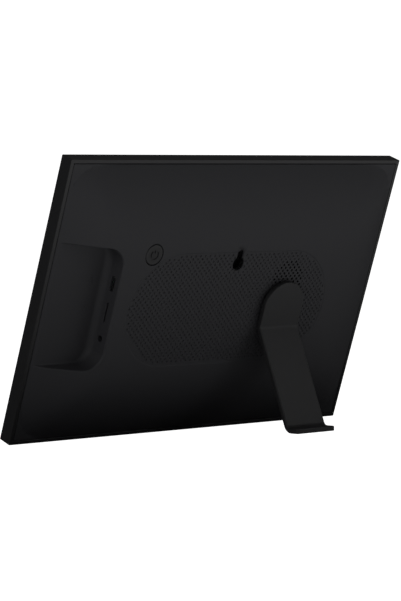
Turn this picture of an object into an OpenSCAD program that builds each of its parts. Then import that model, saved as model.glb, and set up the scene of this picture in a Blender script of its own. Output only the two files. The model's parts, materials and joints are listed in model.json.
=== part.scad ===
// Smart display: a 10 inch touch screen in a slim frame, with a domed back
// cover, a port bay, a power button, a keyhole hanger and a swivel stand.
//
// Every piece is drawn in the panel frame and leaned back at the end:
//   u  to the right as seen from behind
//   v  up along the panel
//   n  out of the back, with n = 0 at the rear edge of the rim

/* [Frame] */
// Width of the frame
frame_w = 260; // [250:1:330]
// Height of the frame
frame_h = 172; // [160:1:220]
// Depth of the rim, front to rear
rim_depth = 9.1; // [8.8:0.1:14]
// Thickness of the rim wall
rim_face = 2.3; // [1.8:0.1:3]
// Ledge inside the rim that the back cover sits on
ledge = 2.3; // [1.8:0.1:3]
// How far the panel leans back from upright
lean = 20.5; // [15:0.5:30]

/* [Screen] */
// Thickness of the touch glass
glass_t = 1.1; // [0.7:0.1:1.3]
// Thickness of the tape under the glass
tape_t = 0.3; // [0.1:0.1:0.4]
// Thickness of the shelf that carries glass and screen
shelf_t = 0.8; // [0.6:0.1:1]
// Distance from the frame's side to the screen's side
bezel_x = 15.5; // [15:0.5:18]
// Distance from the frame's top to the screen's top
bezel_y = 11.5; // [11:0.5:14]
// Thickness of the liquid crystal cell
cell_t = 1.2; // [0.8:0.1:1.2]
// Thickness of the light guide
guide_t = 1.0; // [0.6:0.1:1]
// How far the shelf covers the screen's edge
shelf_lap = 4; // [3:0.5:5]

/* [Back cover] */
// Wall of the back cover
wall = 2; // [1.6:0.1:2.4]
// Thickness of the flange that lies in the rim
flange_t = 1.8; // [1.4:0.1:2]
// Width of the flange before the dome starts to be hollow
flange_w = 5; // [4:0.5:6]
// Height of the dome above the rim
dome_h = 15; // [14:0.5:20]
// Distance over which the dome rises
dome_run = 50; // [40:1:56]
// Corner radius of the dome's outline
dome_corner = 21; // [10:1:30]

/* [Port bay] */
// Distance from the frame's side to the wall with the ports
bay_reach = 42; // [40:0.5:50]
// Top of the bay above the panel's middle
bay_top = 37.5; // [34:0.5:44]
// Bottom of the bay below the panel's middle
bay_bottom = 36.5; // [34:0.5:44]
// Corner radius of the bay
bay_corner = 11; // [8:0.5:13]
// Height of the bay's floor above the rim
bay_floor = 1.2; // [0.4:0.1:2]
// Radius of the cove between the floor and the port wall
bay_cove = 4; // [2:0.5:4.5]
// Height of the port centres above the rim
port_n = 8.4; // [8:0.1:9]
// Height of the USB socket's centre on the port wall
usb_v = 14.7; // [12:0.1:15]
// Height of the card slot's centre on the port wall
card_v = -2.8; // [-5:0.1:0]
// Height of the audio socket's centre on the port wall
jack_v = -18.8; // [-22:0.1:-18]

/* [Power button] */
// Distance from the frame's side to the button
button_from_side = 62.8; // [58:0.2:66]
// Distance from the frame's top to the button
button_from_top = 51.9; // [50:0.1:54]
// Radius of the hole in the cover
button_hole_r = 6.55; // [5:0.05:6.6]
// Ring gap round the button
button_gap = 0.25; // [0.15:0.05:0.35]
// How far the button travels
button_travel = 0.5; // [0.3:0.1:0.6]

/* [Hanger] */
// Height of the keyhole's round hole above the panel's middle
keyhole_v = 26.9; // [25:0.1:29]
// Radius of the round hole that takes the screw head
keyhole_r = 4.2; // [4.1:0.1:5]
// Width of the slot that holds the screw
slot_w = 4.4; // [4.2:0.1:5]
// Height of the slot's top above the round hole's centre
slot_rise = 8.6; // [7:0.1:10]
// Thickness of the steel hanger plate
hanger_t = 1; // [0.8:0.1:1]

/* [Speaker] */
// Offset of the grille from the stand's axis, to the right
grille_du = 1.8; // [0:0.1:4]
// Offset of the grille from the stand's axis, upwards
grille_dv = 16; // [15:0.1:18]
// Radius of the round field of holes
grille_r = 12.5; // [10:0.1:12.8]
// Radius of one hole
grille_hole_r = 0.65; // [0.5:0.05:0.75]
// Distance between neighbouring holes
grille_pitch = 2.57; // [2.3:0.01:3]
// Width of the speaker
speaker_w = 30; // [28:1:32]
// Height of the speaker
speaker_h = 20; // [19:0.5:21]
// Depth of the speaker's frame
speaker_t = 5.5; // [4:0.5:6]

/* [Stand] */
// Distance from the frame's side to the stand's axis
hub_to_side = 88.5; // [80:0.5:95]
// Distance from the frame's bottom to the stand's axis
hub_to_bottom = 86; // [76:0.5:90]
// Width of the leg, and diameter of its round head
leg_w = 31; // [26:0.5:36]
// Thickness of the leg
leg_t = 3; // [2.5:0.1:4]
// Gap between the cover and the leg's head
hub_gap = 1.2; // [1:0.1:2.5]
// Distance from the stand's axis down to the crease
crease_down = 13; // [11:0.5:16]
// Angle of the lower leg away from the back
leg_angle = 42; // [35:1:50]
// Radius of the leg's middle line at the crease
crease_r = 4; // [3:0.5:8]
// Radius of the leg's middle line at the foot's curl
curl_r = 4.5; // [3:0.5:7]
// Length of the lip behind the curl
lip_len = 6; // [3:0.5:9]
// Radius of the stand's shaft
shaft_r = 5; // [4:0.1:5.5]
// Radial clearance of the shaft in the cover
shaft_gap = 0.05; // [0.02:0.01:0.1]
// Radius of the shaft's flange and of the boss round it
hub_r = 8.6; // [8:0.1:8.6]
// Length of the boss inside the cover
boss_len = 5; // [4:0.5:6]

/* [Electronics] */
// Thickness of the boards
board_t = 1.2; // [0.8:0.1:1.6]
// Height of the main board
board_h = 60; // [56:1:60]
// Top edge of the main board above the panel's middle
board_top = 26; // [24:0.5:26]
// Width of the shield can
can_w = 30; // [24:1:34]
// Height of the shield can off the board
can_t = 2.4; // [2:0.1:3]
// Thickness of the steel middle plate
plate_t = 0.8; // [0.6:0.1:1]

/* [Hidden] */
$fn = 64;
EPS = 0.01;
groove = 0.3;            // gap between the rim and the cover's edge
glass_gap = 0.2;         // gap round the glass
slip = 0.1;              // gap between flat faces that slide
wide = 500;              // longer than any piece, for cuts and profiles

// The rim and what lies in it, from the front to the rear.
half_w = frame_w / 2;
half_h = frame_h / 2;
front_n = -rim_depth;
glass_back = front_n + glass_t;
shelf_front = glass_back + tape_t;
shelf_back = shelf_front + shelf_t;
film_t = 0.4;
cell_back = shelf_back + cell_t;
film_back = cell_back + film_t;
guide_back = film_back + guide_t;
led_t = 1.2;
tray_t = 0.3;
tray_back = guide_back + tray_t;
tray_gap = 0.4;
plate_front = tray_back + tray_gap;
plate_back = plate_front + plate_t;
cell_w = frame_w - 2 * bezel_x;
cell_h = frame_h - 2 * bezel_y;
tray_wall = 0.6;
tray_fit = 0.4;
film_inset = 1.5;
bay_in_rim = rim_face + ledge;
cavity_w = frame_w - 2 * bay_in_rim;
cavity_h = frame_h - 2 * bay_in_rim;
plate_inset = 1.9;
plate_w = cavity_w - 2 * plate_inset;
plate_h = cavity_h - 2 * plate_inset;
rim_boss_r = 3.2;
rim_boss_in = 1.8;       // from the cavity's side to the edge of a boss
rim_boss_u = cavity_w / 2 - rim_boss_in - rim_boss_r;
rim_boss_up = 60;
rim_boss_places = [for (side = [-1, 1], up = [-1, 0, 1]) [side * rim_boss_u, up * rim_boss_up]];

// The back cover.
cover_w = frame_w - 2 * (rim_face + groove);
cover_h = frame_h - 2 * (rim_face + groove);
dome_r = (dome_run * dome_run + dome_h * dome_h) / (2 * dome_h);
dome_steps = 10;
ceiling = dome_h - wall;
root_in = 0.6;           // how far ribs and posts reach into the wall they grow from
corner_cut = dome_corner * (sqrt(2) - 1);
corner_half = (cover_w + cover_h) / (2 * sqrt(2)) - corner_cut;

// Snap hooks that hold the cover in the rim.
hook_w = 8;
hook_t = 1.5;
hook_len = 3.2;
hook_barb = 0.6;
hook_gap = 0.2;
hook_side_v = 38;
hook_top_u = [-84, -28, 28, 84];

// The port bay.
bay_u = -half_w + bay_reach;
bay_out = wall;

// Boards.
board_back = port_n - 1.6;
board_front = board_back - board_t;
board_gap = 0.4;
board_u = bay_u + wall + board_gap;
cup_w = 17;
cup_clear = 2.5;
board_w = -cup_w / 2 - cup_clear - board_u;
board_v = board_top - board_h;
board_hole_in = 3.2;
board_holes = [
    for (right = [0, 1], up = [0, 1])
        [
            board_u + board_hole_in + right * (board_w - 2 * board_hole_in) + (1 - right) * 10,
            board_v + board_hole_in + up * (board_h - 2 * board_hole_in)
        ]
];
standoff_r = 2.6;

// The shield can, and the flat cables from the screen and the touch glass to the main board.
can_u = board_u + 24;
can_v = board_v + 22;
can_wall = 0.3;
flex_t = 0.2;
flex_top = board_front - 1.0;
flex_u = -52;
flex_w = 26;
flex_slot_v = -42;
touch_flex_u = -30;
touch_flex_w = 10;

// Small screws: shank radius, head radius and head height.
screw_r = 1.0;
screw_head_r = 1.8;
screw_head_t = 1.2;
screw_fit = 0.06;
screw_end = 0.2;         // room left in front of a screw's tip

// Sockets.
usb_w = 8.94;
usb_t = 3.2;
usb_len = 7.4;
usb_wall = 0.3;
usb_cut = 0.15;
card_w = 14;
card_len = 15;
card_t = 2.6;
card_slot_w = 12;
card_slot_t = 1.3;
card_shell = 0.3;
jack_r = 1.78;
jack_size = 5;
jack_len = 12;
jack_mouth_r = 1.8;
socket_gap = 0.1;
socket_u = bay_u + wall + socket_gap;

// Power button.
button_u = -half_w + button_from_side;
button_v = half_h - button_from_top;
button_r = button_hole_r - button_gap;
button_lip = 0.9;
button_lip_t = 0.7;
button_edge = cover_h / 2 - button_v;
button_top = dome_rise(button_edge) - slip;
button_cap_bottom = dome_rise(button_edge - button_r - button_lip) - wall - slip;
stem_r = 1.6;
plunger_r = 1.5;
plunger_gap = 0.08;
plunger_len = 1.4;
switch_size = 6;
switch_t = 3.4;
switch_top = board_back + switch_t;
stem_bottom = switch_top + button_travel + 0.2;
small_post_r = 2.1;
small_post_u = button_r + button_lip + small_post_r + 0.5;
small_board_w = 2 * (small_post_u + small_post_r + 0.5);
small_board_h = 13;

// Hanger.
cup_h = 21;
cup_wall = 1.2;
cup_depth = 6.5;
cup_v = keyhole_v + 3.2;
hanger_w = 31;
hanger_h = 20;
hanger_post_u = 12;
hanger_post_r = 2.2;
hanger_drop = 0.4;       // the dome already falls away a little over the plate
hanger_top = ceiling - hanger_drop;
hanger_back = hanger_top - hanger_t;
cup_lip_t = 1.2;
cup_lip_back = hanger_back - cup_lip_t;

// Stand and hub.
hub_u = half_w - hub_to_side;
hub_v = -half_h + hub_to_bottom;
head_r = leg_w / 2;
leg_under = dome_h + hub_gap;
leg_mid = leg_under + leg_t / 2;
glide_t = 0.5;
flange_bottom = dome_h + glide_t + slip;
boss_end = ceiling - boss_len;
shaft_end = boss_end - 1.1;
wave_t = 0.8;
keeper_t = 1.0;
keeper_back = shaft_end;
pivot_screw_r = 1.5;
pivot_head_r = 3;
pivot_head_t = 1.8;
pivot_screw_len = 8;

// Speaker.
speaker_u = hub_u + grille_du;
speaker_v = hub_v + hub_r + 0.9 + speaker_h / 2;
grille_u = hub_u + grille_du;
grille_v = hub_v + grille_dv;
grille_floor = speaker_v - speaker_h / 2 + 1.4;
mesh_t = 0.3;
gasket_t = 1.2;
gasket_w = 1.2;
speaker_back = ceiling - gasket_t;
speaker_front = speaker_back - speaker_t;
magnet_r = 8;
magnet_t = 2;
cone_r = 8.6;
speaker_ear = 6;
speaker_post_r = 2.1;
speaker_post_u = speaker_w / 2 + 3;
ear_t = 1.2;
ear_back = speaker_back - 2 * ear_t;

// Wires and the antenna.
wire_sides = 8;
wire_r = 0.45;
antenna_w = 8;
antenna_len = 40;
antenna_gap = 3;
antenna_u = cover_w / 2 - dome_run - antenna_w / 2 - antenna_gap;

// Leg: directions are angles from straight down towards the rear.
function heading(a) = [-cos(a), sin(a)];
function rearward(a) = [sin(a), cos(a)];
function lift(p) = (p[0] + half_h) * cos(lean) - p[1] * sin(lean);
function depth(p) = (p[0] + half_h) * sin(lean) + p[1] * cos(lean);
lip_angle = 90 + lean;
crease_at = [hub_v - crease_down - leg_t / 2 * tan(leg_angle / 2), leg_mid];
crease_run = crease_r * tan(leg_angle / 2);
foot_r = curl_r + leg_t / 2;
leg_len = (lift(crease_at) + curl_r * sin(leg_angle - lean) - foot_r) / cos(leg_angle - lean);
crease_start = crease_at + [crease_run, 0];
crease_centre = crease_start + [0, crease_r];
curl_start = crease_at + leg_len * heading(leg_angle);
curl_centre = curl_start + curl_r * rearward(leg_angle);
curl_steps = 12;
leg_path = concat(
    [[crease_start + [head_r + crease_down, 0], 0]],
    [for (i = [0 : 4]) let (a = leg_angle * i / 4) [crease_centre - crease_r * rearward(a), a]],
    [for (i = [0 : curl_steps])
        let (a = leg_angle + (lip_angle - leg_angle) * i / curl_steps)
            [curl_centre - curl_r * rearward(a), a]],
    [[curl_centre - curl_r * rearward(lip_angle) + lip_len * heading(lip_angle), lip_angle]]
);

// The whole stands with its lowest points on z = 0 and the middle of its box over the origin.
depth_max = max(depth(curl_centre) + lip_len, frame_h * sin(lean));
depth_min = -rim_depth * cos(lean);
shift_y = -(depth_max + depth_min) / 2;

black_plastic = [0.13, 0.13, 0.14];
dark_plastic = [0.09, 0.09, 0.10];
bright_steel = [0.62, 0.63, 0.65];
board_green = [0.05, 0.22, 0.13];
chip_grey = [0.08, 0.08, 0.09];
film_white = [0.88, 0.89, 0.9];
flex_amber = [0.55, 0.33, 0.08];
black_rubber = [0.06, 0.06, 0.06];

// Puts a piece drawn in the panel frame where the leaning object has it.
module leaned() {
    translate([0, shift_y, 0])
        rotate([-lean, 0, 0])
            rotate([90, 0, 180])
                translate([0, half_h, 0])
                    children();
}

// A block centred in u and v, between two heights in n.
module block(w, h, low, high, at = [0, 0]) {
    translate([at[0] - w / 2, at[1] - h / 2, low])
        cube([w, h, high - low]);
}

// A round post or hole between two heights in n.
module post(r, low, high, at = [0, 0]) {
    translate([at[0], at[1], low])
        cylinder(r = r, h = high - low);
}

// A profile drawn as height over v, drawn out along u.
module along_u(length) {
    rotate([90, 0, 90])
        linear_extrude(length, center = true)
            children();
}

// The same profile over u, drawn out along v.
module along_v(length) {
    rotate([90, 0, 0])
        linear_extrude(length, center = true)
            children();
}

// Outline of a strip of one thickness along a path of [point, direction].
function strip_side(path, off) = [for (p = path) p[0] + off * rearward(p[1])];
module strip(path, thickness) {
    near = strip_side(path, -thickness / 2);
    far = strip_side(path, thickness / 2);
    count = len(path);
    polygon(concat(near, [for (i = [count - 1 : -1 : 0]) far[i]]));
}

// A screw whose head lies on a face at n and whose shank runs to the rear or the front.
module screw(at, face, length, to = 1, r = screw_r, head_r = screw_head_r, head_t = screw_head_t) {
    translate([at[0], at[1], face])
        rotate([to > 0 ? 0 : 180, 0, 0])
            difference() {
                union() {
                    translate([0, 0, -head_t / 2])
                        cylinder(r = r, h = length + head_t / 2);
                    translate([0, 0, -head_t])
                        cylinder(r = head_r, h = head_t);
                }
                translate([0, 0, -head_t - EPS])
                    cylinder(r = head_r * 0.45, h = head_t * 0.6, $fn = 6);
            }
}

// A thin wire swept through a few chosen points, with flat sides.
function unit(a) = a / norm(a);
function wire_heading(points, i) = unit(points[min(i + 1, len(points) - 1)] - points[max(i - 1, 0)]);
function wire_ring(points, i, r) =
    let (
        along = wire_heading(points, i),
        across = unit(cross(along, [0.2, 0.3, 1])),
        over = cross(along, across)
    )
    [for (k = [0 : wire_sides - 1])
        points[i] + r * (cos(360 * k / wire_sides) * across + sin(360 * k / wire_sides) * over)];

module wire(points, r) {
    last = len(points) - 1;
    rings = [for (i = [0 : last]) each wire_ring(points, i, r)];
    walls = [
        for (i = [0 : last - 1], k = [0 : wire_sides - 1])
            let (
                a = i * wire_sides + k,
                b = i * wire_sides + (k + 1) % wire_sides,
                c = b + wire_sides,
                d = a + wire_sides
            )
            each [[a, d, c], [a, c, b]]
    ];
    near_end = [for (k = [0 : wire_sides - 1]) k];
    far_end = [for (k = [wire_sides - 1 : -1 : 0]) last * wire_sides + k];
    polyhedron(rings, concat(walls, [near_end, far_end]));
}

// ---------- rim and screen ----------

module front_frame() {
    color(black_plastic)
        leaned()
            difference() {
                union() {
                    difference() {
                        block(frame_w, frame_h, front_n, 0);
                        block(cavity_w, cavity_h, shelf_back, EPS);
                    }
                    for (at = rim_boss_places)
                        post(rim_boss_r, shelf_back - EPS, plate_front, at);
                }
                block(frame_w - 2 * rim_face, frame_h - 2 * rim_face, -flange_t, 1);
                block(frame_w - 2 * rim_face, frame_h - 2 * rim_face, front_n - 1, shelf_front);
                block(cell_w - 2 * shelf_lap, cell_h - 2 * shelf_lap, front_n - 1, 1);
                for (at = rim_boss_places)
                    post(screw_r + screw_fit, shelf_back + 0.6, 1, at);
                snap_hooks(hook_gap);
                touch_slot();
            }
}

// The slot in the shelf that the touch panel's flex goes through.
module touch_slot() {
    translate([touch_flex_u - 11, -half_h + 5.2, shelf_front - 1])
        cube([22, 4.2, shelf_t + 2]);
}

module touch_glass() {
    edge = rim_face + glass_gap;
    color("black")
        leaned()
            block(frame_w - 2 * edge, frame_h - 2 * edge, front_n, glass_back);
}

module glass_tape() {
    tape_w = 3;
    color(black_rubber)
        leaned()
            difference() {
                block(cell_w, cell_h, glass_back, shelf_front);
                block(cell_w - 2 * tape_w, cell_h - 2 * tape_w, glass_back - 1, shelf_front + 1);
            }
}

module lcd_cell() {
    color([0.03, 0.03, 0.05])
        leaned()
            block(cell_w, cell_h, shelf_back, cell_back);
}

module diffuser_films() {
    color(film_white)
        leaned()
            block(cell_w - 2 * film_inset, cell_h - 2 * film_inset, cell_back, film_back);
}

module light_guide() {
    color([0.8, 0.86, 0.9])
        leaned()
            translate([0, led_t, 0])
                block(cell_w - 2 * film_inset, cell_h - 2 * (film_inset + led_t), film_back, guide_back);
}

module led_strip() {
    led_count = 24;
    strip_len = cell_w - 2 * film_inset;
    bottom = -cell_h / 2 + film_inset;
    color([0.95, 0.93, 0.75])
        leaned()
            union() {
                block(strip_len, led_t - 0.6, film_back, guide_back, [0, bottom + 0.3]);
                for (i = [0 : led_count - 1])
                    block(3, 0.7, film_back + 0.1, guide_back - 0.1,
                        [strip_len * ((i + 0.5) / led_count - 0.5), bottom + 0.8]);
            }
}

module backlight_tray() {
    inner_w = cell_w + 2 * tray_fit;
    inner_h = cell_h + 2 * tray_fit;
    color(bright_steel)
        leaned()
            difference() {
                block(inner_w + 2 * tray_wall, inner_h + 2 * tray_wall, shelf_back, tray_back);
                block(inner_w, inner_h, shelf_back - 1, guide_back);
            }
}

module middle_plate() {
    color(bright_steel)
        leaned()
            difference() {
                block(plate_w, plate_h, plate_front, plate_back);
                for (at = rim_boss_places)
                    post(screw_r + 0.3, plate_front - 1, plate_back + 1, at);
                block(flex_w + 4, 9, plate_front - 1, plate_back + 1, [flex_u, flex_slot_v]);
                block(26, 14, plate_front - 1, plate_back + 1, [touch_flex_u, -plate_h / 2]);
                for (side = [-1, 1])
                    block(28, 40, plate_front - 1, plate_back + 1, [side * (plate_w / 2 - 34), 0]);
            }
}

module plate_screws() {
    color(bright_steel)
        leaned()
            for (at = rim_boss_places)
                screw(at, plate_back, plate_back - shelf_back - 0.9, to = -1);
}

module display_flex() {
    low = tray_back + tray_gap / 2;
    from_v = flex_slot_v - 20;
    color(flex_amber)
        leaned()
            translate([flex_u, 0, 0])
                along_u(flex_w)
                    union() {
                        translate([from_v, low - flex_t / 2])
                            square([flex_slot_v - from_v, flex_t]);
                        translate([flex_slot_v - flex_t, low - flex_t / 2])
                            square([flex_t, flex_top - low + flex_t / 2]);
                        translate([flex_slot_v - flex_t, flex_top - flex_t])
                            square([14, flex_t]);
                    }
}

module touch_flex() {
    edge = -half_h + 7.2;
    low = plate_back + 0.6;
    color(flex_amber)
        leaned()
            translate([touch_flex_u, 0, 0])
                along_u(touch_flex_w)
                    union() {
                        translate([edge, glass_back])
                            square([flex_t, low - glass_back]);
                        translate([edge, low])
                            square([board_v - 3 - edge, flex_t]);
                        translate([board_v - 3, low])
                            square([flex_t, flex_top - low]);
                        translate([board_v - 3, flex_top])
                            square([9, flex_t]);
                    }
}

// ---------- back cover ----------

// Height of the dome at a distance in from its edge.
function dome_rise(d) =
    d >= dome_run ? dome_h : dome_h - dome_r + sqrt(dome_r * dome_r - (dome_run - d) * (dome_run - d));

// Points of the dome's profile on one side, from the edge inwards.
function dome_side(half, from, drop) = [
    for (i = [0 : dome_steps])
        let (d = from + (dome_run - from) * i / dome_steps)
            [-half + d, dome_rise(d) - drop]
];

module dome_profile(half, from, drop, low) {
    side = dome_side(half, from, drop);
    polygon(concat(
        [[-half + from, low]],
        side,
        [for (i = [dome_steps : -1 : 0]) [-side[i][0], side[i][1]]],
        [[half - from, low]]
    ));
}

// A dome with cut corners, lowered by drop and starting some way in from the cover's edge.
module dome(from, drop, low) {
    intersection() {
        along_v(cover_h + 10)
            dome_profile(cover_w / 2, from, drop, low);
        along_u(cover_w + 10)
            dome_profile(cover_h / 2, from, drop, low);
        rotate([0, 0, 45])
            along_v(wide)
                dome_profile(corner_half, from, drop, low);
        rotate([0, 0, -45])
            along_v(wide)
                dome_profile(corner_half, from, drop, low);
    }
}

// The outline of the bay, grown by a wall where that is asked for.
module bay_prism(grow, low, high) {
    right = bay_u + grow;
    left = -half_w - 10;
    r = bay_corner + grow;
    top = bay_top + grow;
    bottom = -bay_bottom - grow;
    translate([0, 0, low])
        linear_extrude(high - low)
            union() {
                translate([left, bottom])
                    square([right - r - left, top - bottom]);
                translate([left, bottom + r])
                    square([right - left, top - bottom - 2 * r]);
                translate([right - r, top - r])
                    circle(r);
                translate([right - r, bottom + r])
                    circle(r);
            }
}

module bay_cut() {
    straight = bay_top + bay_bottom - 2 * bay_corner;
    difference() {
        bay_prism(0, bay_floor, dome_h + 5);
        translate([bay_u - bay_cove, -bay_bottom + bay_corner, bay_floor])
            difference() {
                translate([0, 0, -EPS])
                    cube([bay_cove + 1, straight, bay_cove]);
                translate([0, -1, bay_cove])
                    rotate([-90, 0, 0])
                        cylinder(r = bay_cove, h = straight + 2);
            }
    }
}

// The three openings in the port wall.
module port_cuts() {
    for (side = [-1, 1])
        translate([bay_u - 1, usb_v + side * (usb_w - usb_t) / 2, port_n])
            rotate([0, 90, 0])
                cylinder(r = usb_t / 2 + usb_cut, h = wall + 2);
    translate([bay_u - 1, usb_v - (usb_w - usb_t) / 2, port_n - usb_t / 2 - usb_cut])
        cube([wall + 2, usb_w - usb_t, usb_t + 2 * usb_cut]);
    translate([bay_u - 1, card_v - card_slot_w / 2, port_n - card_slot_t / 2])
        cube([wall + 2, card_slot_w, card_slot_t]);
    translate([bay_u - 1, jack_v, port_n])
        rotate([0, 90, 0])
            cylinder(r = jack_mouth_r, h = wall + 2);
}

module keyhole_cut(low, high) {
    post(keyhole_r, low, high, [0, keyhole_v]);
    post(slot_w / 2, low, high, [0, keyhole_v + slot_rise - slot_w / 2]);
    block(slot_w, slot_rise - slot_w / 2, low, high, [0, keyhole_v + (slot_rise - slot_w / 2) / 2]);
}

// Holes lie on a square grid turned by 45 degrees.
module grille_cuts(low, high) {
    reach = ceil(grille_r / grille_pitch) + 1;
    step = grille_pitch / sqrt(2);
    for (i = [-reach : reach], j = [-reach : reach]) {
        du = (i + j) * step;
        dv = (i - j) * step;
        if (norm([du, dv]) <= grille_r && grille_v + dv > grille_floor)
            translate([grille_u + du, grille_v + dv, low])
                cylinder(r = grille_hole_r, h = high - low, $fn = 16);
    }
}

// Hooks down from the flange, with a barb that springs into a pocket of the rim.
module snap_hook(gap) {
    translate([-hook_w / 2 - gap, -hook_t - gap, -flange_t - hook_len - gap])
        cube([hook_w + 2 * gap, hook_t + 2 * gap, hook_len + gap + 0.5]);
    translate([-hook_w / 2 - gap, -EPS, -flange_t - hook_len - gap])
        cube([hook_w + 2 * gap, hook_barb + gap, 1.2 + 2 * gap]);
}

module snap_hooks(gap) {
    for (side = [-1, 1], up = [-1, 1])
        translate([side * (cavity_w / 2 - slip), up * hook_side_v, 0])
            rotate([0, 0, -side * 90])
                snap_hook(gap);
    for (side = [-1, 1], u = hook_top_u)
        translate([u, side * (cavity_h / 2 - slip), 0])
            rotate([0, 0, side > 0 ? 0 : 180])
                snap_hook(gap);
}

module cover_posts() {
    top = ceiling + root_in;
    post(hub_r, boss_end, top, [hub_u, hub_v]);
    for (side = [-1, 1]) {
        post(small_post_r, board_back, top, [button_u + side * small_post_u, button_v]);
        post(hanger_post_r, cup_lip_back, top, [side * hanger_post_u, cup_v]);
        post(speaker_post_r, ear_back + ear_t, top, [speaker_u + side * speaker_post_u, speaker_v]);
    }
}

module cover_post_holes() {
    hole = screw_r + screw_fit;
    for (side = [-1, 1]) {
        post(hole, board_back - 1, ceiling, [button_u + side * small_post_u, button_v]);
        post(hole, cup_lip_back - 1, ceiling, [side * hanger_post_u, cup_v]);
        post(hole, ear_back, ceiling, [speaker_u + side * speaker_post_u, speaker_v]);
    }
}

module back_cover() {
    color(black_plastic)
        leaned()
            difference() {
                union() {
                    difference() {
                        union() {
                            block(cover_w, cover_h, -flange_t, 0);
                            dome(0, 0, -flange_t / 2);
                        }
                        dome(flange_w, wall, -flange_t - 1);
                    }
                    intersection() {
                        dome(0.5, root_in, bay_floor - wall);
                        bay_prism(bay_out, bay_floor - wall, dome_h + 1);
                    }
                    cover_posts();
                    snap_hooks(0);
                }
                bay_cut();
                port_cuts();
                cover_post_holes();
                keyhole_cut(ceiling - 1, dome_h + 1);
                grille_cuts(ceiling - 1, dome_h + 1);
                post(button_hole_r, ceiling - 1, dome_h + 1, [button_u, button_v]);
                post(shaft_r + shaft_gap, boss_end - 1, dome_h + 1, [hub_u, hub_v]);
            }
}

// ---------- main board ----------

module main_board() {
    color(board_green)
        leaned()
            difference() {
                translate([board_u, board_v, board_front])
                    cube([board_w, board_h, board_t]);
                for (at = board_holes)
                    post(screw_r + 0.2, board_front - 1, board_back + 1, at);
                translate([board_u - 1, jack_v - jack_size / 2 - socket_gap, board_front - 1])
                    cube([jack_len + 1 + socket_gap, jack_size + 2 * socket_gap, board_t + 2]);
            }
}

module board_standoffs() {
    color("goldenrod")
        leaned()
            for (at = board_holes)
                difference() {
                    post(standoff_r, plate_back, board_front, at);
                    post(screw_r + screw_fit, board_front - 6, board_front + 1, at);
                }
}

module board_screws() {
    color(bright_steel)
        leaned()
            for (at = board_holes)
                screw(at, board_back, board_t + 5, to = -1);
}

module shield_can() {
    at = [can_u + can_w / 2, can_v + can_w / 2];
    inner = can_w - 2 * can_wall;
    color(bright_steel)
        leaned()
            difference() {
                block(can_w, can_w, board_back, board_back + can_t, at);
                block(inner, inner, board_back - 1, board_back + can_t - can_wall, at);
            }
}

module board_chips() {
    inside = [can_u + can_w / 2, can_v + can_w / 2];
    color(chip_grey)
        leaned()
            union() {
                block(14, 14, board_back, board_back + 1.2, inside + [-4, 4]);
                block(8, 12, board_back, board_back + 1.0, inside + [9, 3]);
                block(5, 5, board_back, board_back + 0.8, inside + [-6, -10]);
                block(12, 10, board_back, board_back + 1.6, [board_u + board_w - 12, board_v + 13]);
                block(4, 5, board_front - 0.9, board_front, [board_u + 26, board_v + 30]);
                block(flex_w - 4, 4, board_front - 0.8, board_front, [flex_u, board_v + 4]);
                block(touch_flex_w, 4, board_front - 0.8, board_front, [touch_flex_u, board_v + 4]);
            }
}

// ---------- sockets in the port bay ----------

// A flat shell with round ends, as long as asked.
module rounded_bar(w, t, length) {
    rotate([90, 0, 90])
        linear_extrude(length)
            union() {
                square([w - t, t], center = true);
                for (side = [-1, 1])
                    translate([side * (w - t) / 2, 0])
                        circle(t / 2);
            }
}

module usb_socket() {
    color(bright_steel)
        leaned()
            translate([socket_u, usb_v, port_n])
                difference() {
                    rounded_bar(usb_w, usb_t, usb_len);
                    translate([-1, 0, 0])
                        rounded_bar(usb_w - 2 * usb_wall, usb_t - 2 * usb_wall, usb_len + 1 - 0.8);
                }
}

module usb_tongue() {
    color(chip_grey)
        leaned()
            translate([socket_u + 0.8, usb_v - 3.35, port_n - 0.35])
                cube([usb_len - 1.6, 6.7, 0.7]);
}

module card_socket() {
    color(bright_steel)
        leaned()
            difference() {
                translate([socket_u, card_v - card_w / 2, board_back])
                    cube([card_len, card_w, card_t]);
                translate([socket_u - 1, card_v - 11.2 / 2, port_n - 0.5])
                    cube([card_len + 1 - card_shell, 11.2, 1]);
            }
}

module audio_socket() {
    color(chip_grey)
        leaned()
            difference() {
                translate([socket_u, jack_v - jack_size / 2, port_n - jack_size / 2])
                    cube([jack_len, jack_size, jack_size]);
                translate([socket_u - 1, jack_v, port_n])
                    rotate([0, 90, 0])
                        cylinder(r = jack_r, h = jack_len - 0.8 + 1);
            }
}

// ---------- power button ----------

module power_button() {
    at = [button_u, button_v];
    color(black_plastic)
        leaned()
            union() {
                post(button_r, button_cap_bottom - button_lip_t, button_top, at);
                post(button_r + button_lip, button_cap_bottom - button_lip_t, button_cap_bottom, at);
                post(stem_r, stem_bottom, button_top - 1, at);
            }
}

module switch_plunger() {
    color("white")
        leaned()
            post(plunger_r, stem_bottom - plunger_len, stem_bottom, [button_u, button_v]);
}

module button_switch() {
    at = [button_u, button_v];
    well = stem_bottom - plunger_len - button_travel - 0.2;
    color(bright_steel)
        leaned()
            difference() {
                block(switch_size, switch_size, board_back, switch_top, at);
                post(plunger_r + plunger_gap, well, switch_top + 1, at);
            }
}

module button_board() {
    at = [button_u, button_v];
    color(board_green)
        leaned()
            difference() {
                block(small_board_w, small_board_h, board_front, board_back, at);
                for (side = [-1, 1])
                    post(screw_r + 0.2, board_front - 1, board_back + 1, at + [side * small_post_u, 0]);
            }
}

module button_screws() {
    color(bright_steel)
        leaned()
            for (side = [-1, 1])
                screw([button_u + side * small_post_u, button_v], board_front, board_t + 4);
}

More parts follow.
